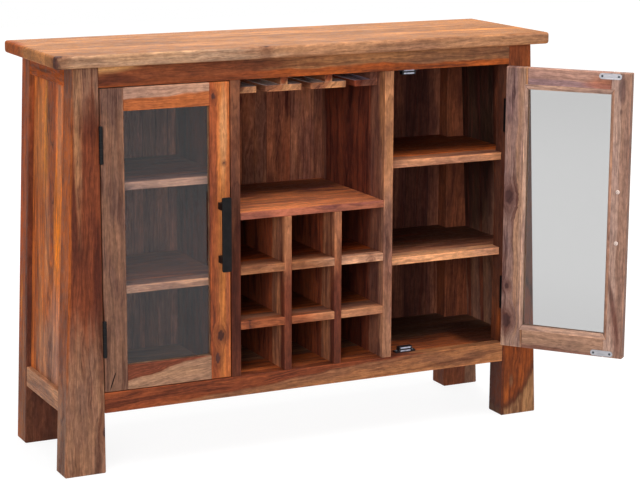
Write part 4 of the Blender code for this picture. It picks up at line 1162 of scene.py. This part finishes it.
@dataclass
class Bays(Joinery):
    """The dividers, the shelves, the bottle grid and the stemware rack."""

    front: float = -0.155
    sheen_ledge: float = 0.0255

    def edge(self, tone: Tone, strength: float = 0.85, spread: float = 0.016) -> Flame:
        """Returns a strip of one tone along a board's front edge."""
        return Flame(0.0, self.front, 0.6, spread, tone, strength, softness=0.35)

    def timbers(self) -> Dict[str, Timber]:
        """Returns what each board is cut from."""
        return {**self.walls(), **self.shelves(), **self.rack()}

    def walls(self) -> Dict[str, Timber]:
        """Picks the timber of the dividers and of the bottle grid's uprights.

        Returns:
            What each board is cut from.
        """
        wall = Timber(Lay.WALL, Tone.BROWN, Tone.RED_BROWN, figure=0.9, pith=(0.02, -0.05))
        upright = replace(wall, stain=(1.10, 1.02, 0.98), flames=(
            self.edge(Tone.MAROON, 0.92), Flame(0.15, self.front, 0.10, 0.012, Tone.BROWN, 0.9)))
        return {
            "divider_left": replace(wall, seed=1.9, stain=(0.57, 0.49, 0.50), flames=(
                self.edge(Tone.BROWN, 0.8), Flame(-0.2, self.front, 0.25, 0.02, Tone.MAROON, 0.85))),
            "divider_right": replace(wall, seed=3.6, stain=(0.63, 0.59, 0.73), flames=(
                Flame(0.0, -0.13, 0.6, 0.04, Tone.BROWN, 0.8), self.edge(Tone.TAN),
                Flame(0.25, self.front, 0.2, 0.02, Tone.HONEY, 0.7))),
            "bottle_upright_left": replace(upright, seed=4.4),
            "bottle_upright_right": replace(upright, seed=5.5),
        }

    def shelves(self) -> Dict[str, Timber]:
        """Picks the timber of the shelves and of the bottle grid's cross boards.

        Returns:
            What each board is cut from.
        """
        shelf = Timber(Lay.FLAT, Tone.BROWN, Tone.ORANGE, pith=(0.03, -0.06), heart_radius=0.15)
        tan_edge = self.edge(Tone.TAN)
        # painted shade: a PLUM patch darkens the rear of the left bay's shelves
        left = replace(shelf, flames=(Flame(0.0, 0.05, 0.6, 0.17, Tone.PLUM, 0.75, softness=0.25), tan_edge))
        right = replace(shelf, stain=(1.45, 1.35, 1.40))
        # painted shade: shade and deep are INK patches that darken the rear of the right bay's shelves and of
        # the bottle shelves
        shade = Flame(0.0, 0.06, 0.4, 0.12, Tone.INK, 0.85)
        deep = Flame(0.0, 0.04, 0.3, 0.13, Tone.INK, 0.7, softness=0.3)
        return {
            "centre_shelf": replace(
                shelf, sap=Tone.ORANGE, seed=2.7, stain=(1.49, 1.87, 3.20),
                # painted shade: the INK patch darkens the rear of the centre shelf, where it lies in shadow
                flames=(Flame(0.0, 0.10, 0.3, 0.07, Tone.INK, 0.8),
                        Flame(0.0, -0.1606, 0.6, 0.003, Tone.MAROON, 0.7, softness=0.3, ragged=0.2))),
            "shelf_left_lower": replace(left, seed=6.1, stain=(2.1, 2.1, 2.2)),
            "shelf_left_upper": replace(left, seed=5.2, stain=(1.32, 1.40, 1.85)),
            "shelf_right_lower": replace(
                right, seed=7.3, sap=Tone.TAN, heart=Tone.BROWN, flames=(shade, self.edge(Tone.TAN, 0.6))),
            "shelf_right_upper": replace(right, seed=8.8, flames=(shade, self.edge(Tone.TAN, 0.5))),
            "bottle_shelf_lower": replace(
                shelf, seed=9.1, stain=(0.84, 0.80, 0.92), knots=(Knot(-0.155, self.front - 0.002, 0.004),),
                flames=(deep, self.edge(Tone.ORANGE, 0.6),
                        Flame(0.12, self.front, 0.12, 0.016, Tone.TAN, 0.7))),
            "bottle_shelf_upper": replace(
                shelf, seed=3.9, stain=(0.84, 0.68, 0.61), knots=(Knot(0.145, self.front - 0.002, 0.003),),
                flames=(deep, tan_edge, Flame(0.15, self.front, 0.13, 0.016, Tone.BLUSH, 0.85))),
        }

    def rack(self) -> Dict[str, Timber]:
        """Picks the timber of the stemware rack, with a painted sheen on the ledges that the bases slide
        along.

        Returns:
            What each rail is cut from.
        """
        # painted sheen: a pale strip on the ledges' tops stands for the lacquer reflecting the white studio
        sheen_ledge = Flame(0.0, 0.0, 0.138, 1.0, Tone.SLATE, 0.95, softness=0.08, depth=self.sheen_ledge,
                      thickness=0.0010, ragged=0.0)
        web = Flame(0.0, 0.0, 1.0, 0.012, Tone.RED_BROWN, 0.9, softness=0.1, depth=-0.006, thickness=0.0300,
                    ragged=0.0)
        half = Timber(Lay.RUNNER, Tone.TAN, Tone.BROWN, figure=0.7, stain=(1.1, 1.0, 0.95), flames=(sheen_ledge,))
        tee = replace(half, flames=(sheen_ledge, web))
        return {
            "glass_rail_tee_left": replace(tee, seed=1.3),
            "glass_rail_tee_right": replace(tee, seed=2.1),
            "glass_rail_half_left": replace(half, seed=3.1),
            "glass_rail_half_right": replace(half, sap=Tone.BROWN, heart=Tone.RED_BROWN, seed=4.1,
                                             stain=(0.8, 0.7, 0.8)),
        }


@dataclass
class Door:
    """One glazed door: its frame, its bead, its pane, its pull and its strike plates."""

    workshop: Workshop
    side: str
    swing: float
    timbers: Dict[str, Timber]
    pane: Finish
    screw: CrossScrew = CrossScrew(0.0050, 0.0022, 0.0004, 0.0)
    screw_sunk: float = 0.0017
    strike_screw: CrossScrew = CrossScrew(0.0028, 0.0006, 0.0005)
    strike_sunk: float = 0.0002
    hole_spacing: float = 0.0385

    @property
    def body(self) -> str:
        """The name of the body that the door is."""
        return f"door_{self.side}"

    def build(self, finishes: Finishes) -> None:
        """Dresses the door and adds its screws.

        Args:
            finishes: the materials that are not timber.
        """
        timbers = {f"{self.body}_{part}": timber for part, timber in self.timbers.items()}
        self.workshop.finish(self.body, timbers, self.swing)
        dress(f"{self.body}_glass", finishes[self.pane])
        dress(f"{self.body}_handle", finishes[Finish.BLACK_IRON])
        self.add_pull_screws(finishes[Finish.NICKEL_SCREW])
        for end in ("top", "bottom"):
            self.add_strike_screws(f"strike_{self.side}_{end}", finishes)

    def add_pull_screws(self, nickel: bpy.types.Material) -> None:
        """Covers the ends of the pull's two through screws, inside the door, with pan heads.

        Args:
            nickel: their finish.
        """
        board = Board.survey(f"{self.body}_handle", Lay.POST, self.swing)
        inward = board.axes[:, 2]
        points = points_of(f"{self.body}_handle")
        depth = points @ inward
        ends = points[depth > depth.max() - 0.0004]
        high = ends[:, 2] > board.middle[2]
        places = np.stack([ends[high].mean(axis=0), ends[~high].mean(axis=0)]) - inward * self.screw_sunk
        fit_piece(f"{self.body}_pull_screws", self.screw.heads(places, inward), nickel, self.body)

    def add_strike_screws(self, name: str, finishes: Finishes) -> None:
        """Dresses a strike plate and sets two countersunk screws in it.

        Args:
            name: the plate.
            finishes: the materials that are not timber.
        """
        dress(name, finishes[Finish.ZINC_PLATE])
        plate = Board.survey(name, Lay.RAIL, self.swing)
        across = plate.axes[:, 0] * self.hole_spacing / 2
        inward = -plate.axes[:, 2]
        seat = plate.middle + inward * (plate.half[2] - self.strike_sunk)
        heads = self.strike_screw.heads(np.stack([seat - across, seat + across]), inward)
        fit_piece(f"{name}_screws", heads, finishes[Finish.DULL_STEEL], self.body)


@dataclass
class Ironwork:
    """The butt hinges with their screws and the magnetic catches."""

    hinge_screw: CrossScrew = CrossScrew(0.0031, 0.0003, 0.0003, 0.0003)
    hinge_sunk: float = 0.00015
    screw_heights: Triple = (0.16, 0.5, 0.84)
    screw_stagger: Triple = (0.003, -0.004, 0.003)
    screw_inset: float = 0.0085
    catch_screw: CrossScrew = CrossScrew(0.0032, 0.0012, 0.0009)
    ear_offset: float = 0.0215
    ear_height: float = 0.0041
    pole: SoftBlock = SoftBlock((0.0135, 0.0062, 0.0017), 0.1)
    pole_heights: Tuple[float, float] = (0.0036, 0.0104)
    pole_proud: float = 0.00032

    def build(self, finishes: Finishes) -> None:
        """Dresses the hinges and the catches and adds their screws and poles.

        Args:
            finishes: the materials that are not timber.
        """
        for side in ("left", "right"):
            for label in ("lower", "upper"):
                for owner in ("frame", "door"):
                    self.build_leaf(side, label, owner, finishes[Finish.BLACK_IRON])
        for side in ("left", "right"):
            for end, up in (("top", -1.0), ("bottom", 1.0)):
                self.build_catch(f"catch_{side}_{end}", up, finishes)

    def build_leaf(self, side: str, label: str, owner: str, iron: bpy.types.Material) -> None:
        """Dresses one leaf and sinks its screws in the side that shows when the door is open.

        Args:
            side: left or right.
            label: lower or upper.
            owner: frame or door.
            iron: the black finish.
        """
        name = f"hinge_{side}_{label}_{owner}_leaf"
        dress(name, iron)
        turn = turned_by(RIGHT_DOOR_OPEN if (side, owner) == ("right", "door") else 0.0)
        local = points_of(name) @ turn
        low, high = local.min(axis=0), local.max(axis=0)
        flat = local[local[:, 1] > high[1] - 0.001]
        outward = 1.0 if (side, owner) in (("left", "frame"), ("right", "door")) else -1.0
        face = flat[:, 0].max() if outward > 0 else flat[:, 0].min()
        depths = high[1] - self.screw_inset + np.array(self.screw_stagger)
        heights = low[2] + (high[2] - low[2]) * np.array(self.screw_heights)
        places = np.stack([np.full(3, face), depths, heights], axis=1) @ turn.T
        way = outward * turn[:, 0]
        heads = self.hinge_screw.heads(places - way * self.hinge_sunk, way)
        fit_piece(f"{name}_screws", heads, iron, CARCASS if owner == "frame" else f"door_{side}")

    def build_catch(self, name: str, up: float, finishes: Finishes) -> None:
        """Dresses one catch and adds its two steel poles and two screws.

        Args:
            name: the catch.
            up: 1 where it stands on a board, -1 where it hangs under one.
            finishes: the materials that are not timber.
        """
        dress(name, finishes[Finish.CATCH_PLASTIC])
        low, high = (np.array(corner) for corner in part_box(name))
        middle = (low + high) / 2
        seat = low[2] if up > 0 else high[2]
        front = low[1] + self.pole.half[1] - self.pole_proud
        poles = [np.array([middle[0], front, seat + up * height]) for height in self.pole_heights]
        fit_piece(f"{name}_poles", self.pole.blocks(poles), finishes[Finish.POLE_STEEL], CARCASS)
        ears = np.array([[middle[0] + way * self.ear_offset, middle[1], seat + up * self.ear_height]
                         for way in (-1.0, 1.0)])
        heads = self.catch_screw.heads(ears, np.array([0.0, 0.0, up]))
        fit_piece(f"{name}_screws", heads, finishes[Finish.BRIGHT_STEEL], CARCASS)


@dataclass(frozen=True)
class Lamp:
    """One square soft lamp: where it hangs, what it looks at, its side in metres and its power in watts."""

    name: str
    place: Triple
    target: Triple
    size: float
    power: float

    def hang(self) -> None:
        """Adds the lamp."""
        data = bpy.data.lights.new(self.name, "AREA")
        data.shape = "SQUARE"
        data.size = self.size
        data.energy = self.power
        lamp = add_object(self.name, data)
        lamp.location = self.place
        lamp.rotation_mode = "QUATERNION"
        lamp.rotation_quaternion = (Vector(self.target) - Vector(self.place)).to_track_quat("-Z", "Y")


LAMPS = (
    Lamp("key", (-3.3, -3.6, 2.0), (0.0, 0.0, 0.5), 2.2, 112.0),
    Lamp("overhead", (0.2, -0.5, 3.4), (0.0, 0.1, 0.6), 2.6, 84.0),
    Lamp("front", (-1.8, -4.0, 1.2), (0.0, 0.0, 0.4), 1.6, 22.0),
    Lamp("fill", (3.4, -3.0, 1.8), (0.0, 0.0, 0.5), 2.4, 26.0),
    Lamp("rear", (1.2, 3.8, 2.6), (0.0, 0.0, 0.5), 2.4, 60.0),
)


@dataclass
class Studio:
    """A white sweep, five soft lamps and the photograph's camera."""

    eye: Triple = (-1.96227, -3.98800, 1.40301)
    forward: Triple = (0.42894528, 0.8782206, -0.21150537)
    roll: float = math.radians(0.195)
    focal_pixels: float = 2003.99
    width_pixels: float = 640.0
    clip: Tuple[float, float] = (0.1, 60.0)
    ambient: float = 0.36
    centre: Triple = (-0.05, 0.12, 0.0)
    floor_reach: float = 9.0
    floor_lines: int = 9
    floor_grey: float = 0.62
    shadow_grey: float = 0.20
    near_glow: float = 0.88
    shadow_ends: Tuple[float, float] = (0.9, 1.9)

    def add_camera(self) -> None:
        """Places the camera that was fitted to the photograph."""
        ahead = Vector(self.forward).normalized()
        level = ahead.cross(Vector((0.0, 0.0, 1.0))).normalized()
        upward = level.cross(ahead)
        right = level * math.cos(self.roll) + upward * math.sin(self.roll)
        up = upward * math.cos(self.roll) - level * math.sin(self.roll)
        data = bpy.data.cameras.new("camera")
        data.sensor_fit = "HORIZONTAL"
        data.sensor_width = 36.0
        data.lens = self.focal_pixels / self.width_pixels * data.sensor_width
        data.clip_start, data.clip_end = self.clip
        camera = add_object("camera", data)
        axes = Matrix((right, up, -ahead)).transposed()
        camera.matrix_world = Matrix.Translation(self.eye) @ axes.to_4x4()
        bpy.context.scene.camera = camera

    @staticmethod
    def seen(graph: Graph) -> Value:
        """Tells the rays that look from those that light.

        Args:
            graph: the tree that asks.

        Returns:
            1 where a camera, glossy or transmitted ray looks, else 0.
        """
        path = graph.node("ShaderNodeLightPath")
        camera, glossy, through = (Value(graph, path.outputs[f"Is {kind} Ray"])
                                   for kind in ("Camera", "Glossy", "Transmission"))
        return camera.greater(glossy).greater(through)

    def add_world(self) -> None:
        """Makes the world white to look at, and an even soft light otherwise."""
        world = bpy.data.worlds.new("studio")
        graph = empty_graph(world)
        strength = self.seen(graph).ease(0.0, 1.0, self.ambient, 1.0)
        background = graph.node("ShaderNodeBackground", {"Color": WHITE, "Strength": strength})
        graph.node("ShaderNodeOutputWorld", {"Surface": background})
        bpy.context.scene.world = world

    def floor_mesh(self) -> bpy.types.Mesh:
        """Makes a level square grid: line k of each way lies evenly between -reach and reach.

        Returns:
            The mesh.
        """
        count = self.floor_lines
        line = np.linspace(-self.floor_reach, self.floor_reach, count)
        x, y = np.meshgrid(line, line, indexing="ij")
        points = np.stack([x, y, np.zeros_like(x)], axis=-1).reshape(-1, 3)
        row, column = np.meshgrid(np.arange(count - 1), np.arange(count - 1), indexing="ij")
        faces = (row * count + column).reshape(-1, 1) + np.array([0, count, count + 1, 1])
        mesh = bpy.data.meshes.new("floor")
        mesh.from_pydata(points.tolist(), [], faces.tolist())
        return mesh

    def add_floor(self) -> None:
        """Lays the floor: pale, with a faint shadow under the cabinet, and white further away."""
        mesh = self.floor_mesh()
        floor = add_object("floor", mesh)
        material = bpy.data.materials.new("pale_floor")
        graph = empty_graph(material)
        paper, shown = (graph.node("ShaderNodeBsdfDiffuse", {"Color": (grey, grey, grey, 1.0)})
                        for grey in (self.floor_grey, self.shadow_grey))
        distance = (graph.place() - self.centre).length()
        glow = graph.node("ShaderNodeEmission", {
            "Color": WHITE, "Strength": distance.ease(*self.shadow_ends, self.near_glow, 1.0)})
        both = graph.node("ShaderNodeAddShader", {0: shown, 1: glow})
        pick = graph.node("ShaderNodeMixShader", {0: self.seen(graph), 1: paper, 2: both})
        graph.node("ShaderNodeOutputMaterial", {"Surface": pick})
        mesh.materials.append(material)

    def build(self) -> None:
        """Sets up the view, the lamps, the world and the floor."""
        bpy.context.scene.view_settings.view_transform = "Standard"
        self.add_camera()
        for lamp in LAMPS:
            lamp.hang()
        self.add_world()
        self.add_floor()


def left_door_timbers() -> Dict[str, Timber]:
    """Picks the timber of the shut door.

    Returns:
        What each of its boards is cut from.
    """
    post, rail = Timber(Lay.POST), Timber(Lay.RAIL, figure=0.3)
    return {
        "stile_hinge": replace(
            post, sap=Tone.GREY_TAN, heart=Tone.BROWN, figure=0.7, seed=2.6, stain=(0.50, 0.46, 0.48),
            flames=(Flame(-0.307, -0.0087, 0.018, 0.0016, Tone.INK, 1.0, 0.35, 0.2),)).below(-0.03),
        "rail_top": replace(rail, seed=1.4, stain=(0.88, 0.93, 1.25)).below(0.002, 0.045),
        "rail_bottom": replace(rail, heart=Tone.RED_BROWN, seed=3.2,
                               stain=(0.77, 0.80, 0.95)).above(0.0107, 0.17),
        "stile_free": replace(
            post, sap=Tone.ORANGE, heart=Tone.RUST, figure=0.6, seed=6.9, stain=(0.90, 0.98, 1.30),
            knots=(Knot(0.1526, 0.0096, 0.0026, 1.3), Knot(-0.2329, -0.0013, 0.0085, 1.5),
                   Knot(-0.284, -0.009, 0.006, 2.2), Knot(0.2997, -0.015, 0.005, 1.6)),
            flames=(Flame(0.02, 0.004, 0.30, 0.009, Tone.GOLD, 0.5),
                    Flame(0.22, 0.008, 0.10, 0.008, Tone.HONEY, 0.6),
                    Flame(-0.16, 0.016, 0.12, 0.005, Tone.RED_BROWN, 0.6))).below(-0.012),
        "glazing_bead": replace(post, heart=Tone.BROWN, figure=0.5, seed=4.7, bar_widths=BEAD_BARS),
    }


def right_door_timbers() -> Dict[str, Timber]:
    """Picks the timber of the open door.

    Returns:
        What each of its boards is cut from.
    """
    post, rail = Timber(Lay.POST), Timber(Lay.RAIL)
    return {
        "stile_hinge": replace(
            post, heart=Tone.GREY_TAN, figure=0.7, seed=5.7, stain=(0.65, 0.70, 0.94),
            knots=(Knot(0.027, 0.0120, 0.0105, 1.8), Knot(-0.185, 0.0135, 0.0055, 1.4),
                   Knot(-0.268, 0.0120, 0.0105, 1.7)),
            flames=(Flame(0.25, 0.006, 0.10, 0.014, Tone.GREY_TAN, 0.8),
                    Flame(0.0, -0.018, 0.4, 0.006, Tone.CREAM, 0.6),
                    Flame(-0.330, 0.0, 0.038, 0.040, Tone.CREAM, 0.8, ragged=0.5),
                    Flame(0.0, -0.0235, 0.4, 0.0035, Tone.HONEY, 0.95, softness=0.2))).above(0.0),
        "rail_top": replace(rail, heart=Tone.GREY_TAN, figure=0.25, seed=1.8, stain=(0.86, 0.92, 1.42),
                            flames=(Flame(-0.09, -0.004, 0.05, 0.018, Tone.ORANGE, 0.6),)).below(0.0),
        "rail_bottom": replace(rail, heart=Tone.BROWN, figure=0.35, seed=7.2,
                               stain=(0.77, 0.84, 1.11)).below(-0.02),
        "stile_free": replace(
            post, sap=Tone.CREAM, heart=Tone.TAN, figure=0.3, seed=8.4, stain=(0.68, 0.74, 1.07),
            flames=(Flame(-0.193, 0.006, 0.095, 0.005, Tone.MAROON, 0.6, 0.2, 0.5),
                    Flame(-0.255, -0.003, 0.07, 0.009, Tone.RED_BROWN, 0.5, 0.1, 0.5, ragged=0.4),
                    Flame(0.292, -0.003, 0.034, 0.0085, Tone.KNOT, 0.62, ragged=0.3),
                    Flame(0.2427, -0.002, 0.006, 0.003, Tone.KNOT, 0.5, softness=0.6,
                          ragged=0.3))).below(0.0),
        "glazing_bead": replace(post, sap=Tone.CREAM, heart=Tone.TAN, figure=0.4, seed=9.9,
                                stain=(0.74, 0.78, 1.06), bar_widths=BEAD_BARS),
    }


def main() -> None:
    """Builds the sub-assemblies in order, then the studio."""
    logging.basicConfig(level=logging.INFO, format="%(name)s: %(message)s")
    workshop = Workshop()
    finishes = {finish: finish.value.material(finish.name.lower()) for finish in Finish}
    Carcass(workshop).build()
    Bays(workshop).build()
    Door(workshop, "left", 0.0, left_door_timbers(), Finish.CLEAR_GLASS).build(finishes)
    Door(workshop, "right", RIGHT_DOOR_OPEN, right_door_timbers(), Finish.GREY_GLASS).build(finishes)
    Ironwork().build(finishes)
    Studio().build()


if __name__ == "__main__":
    main()
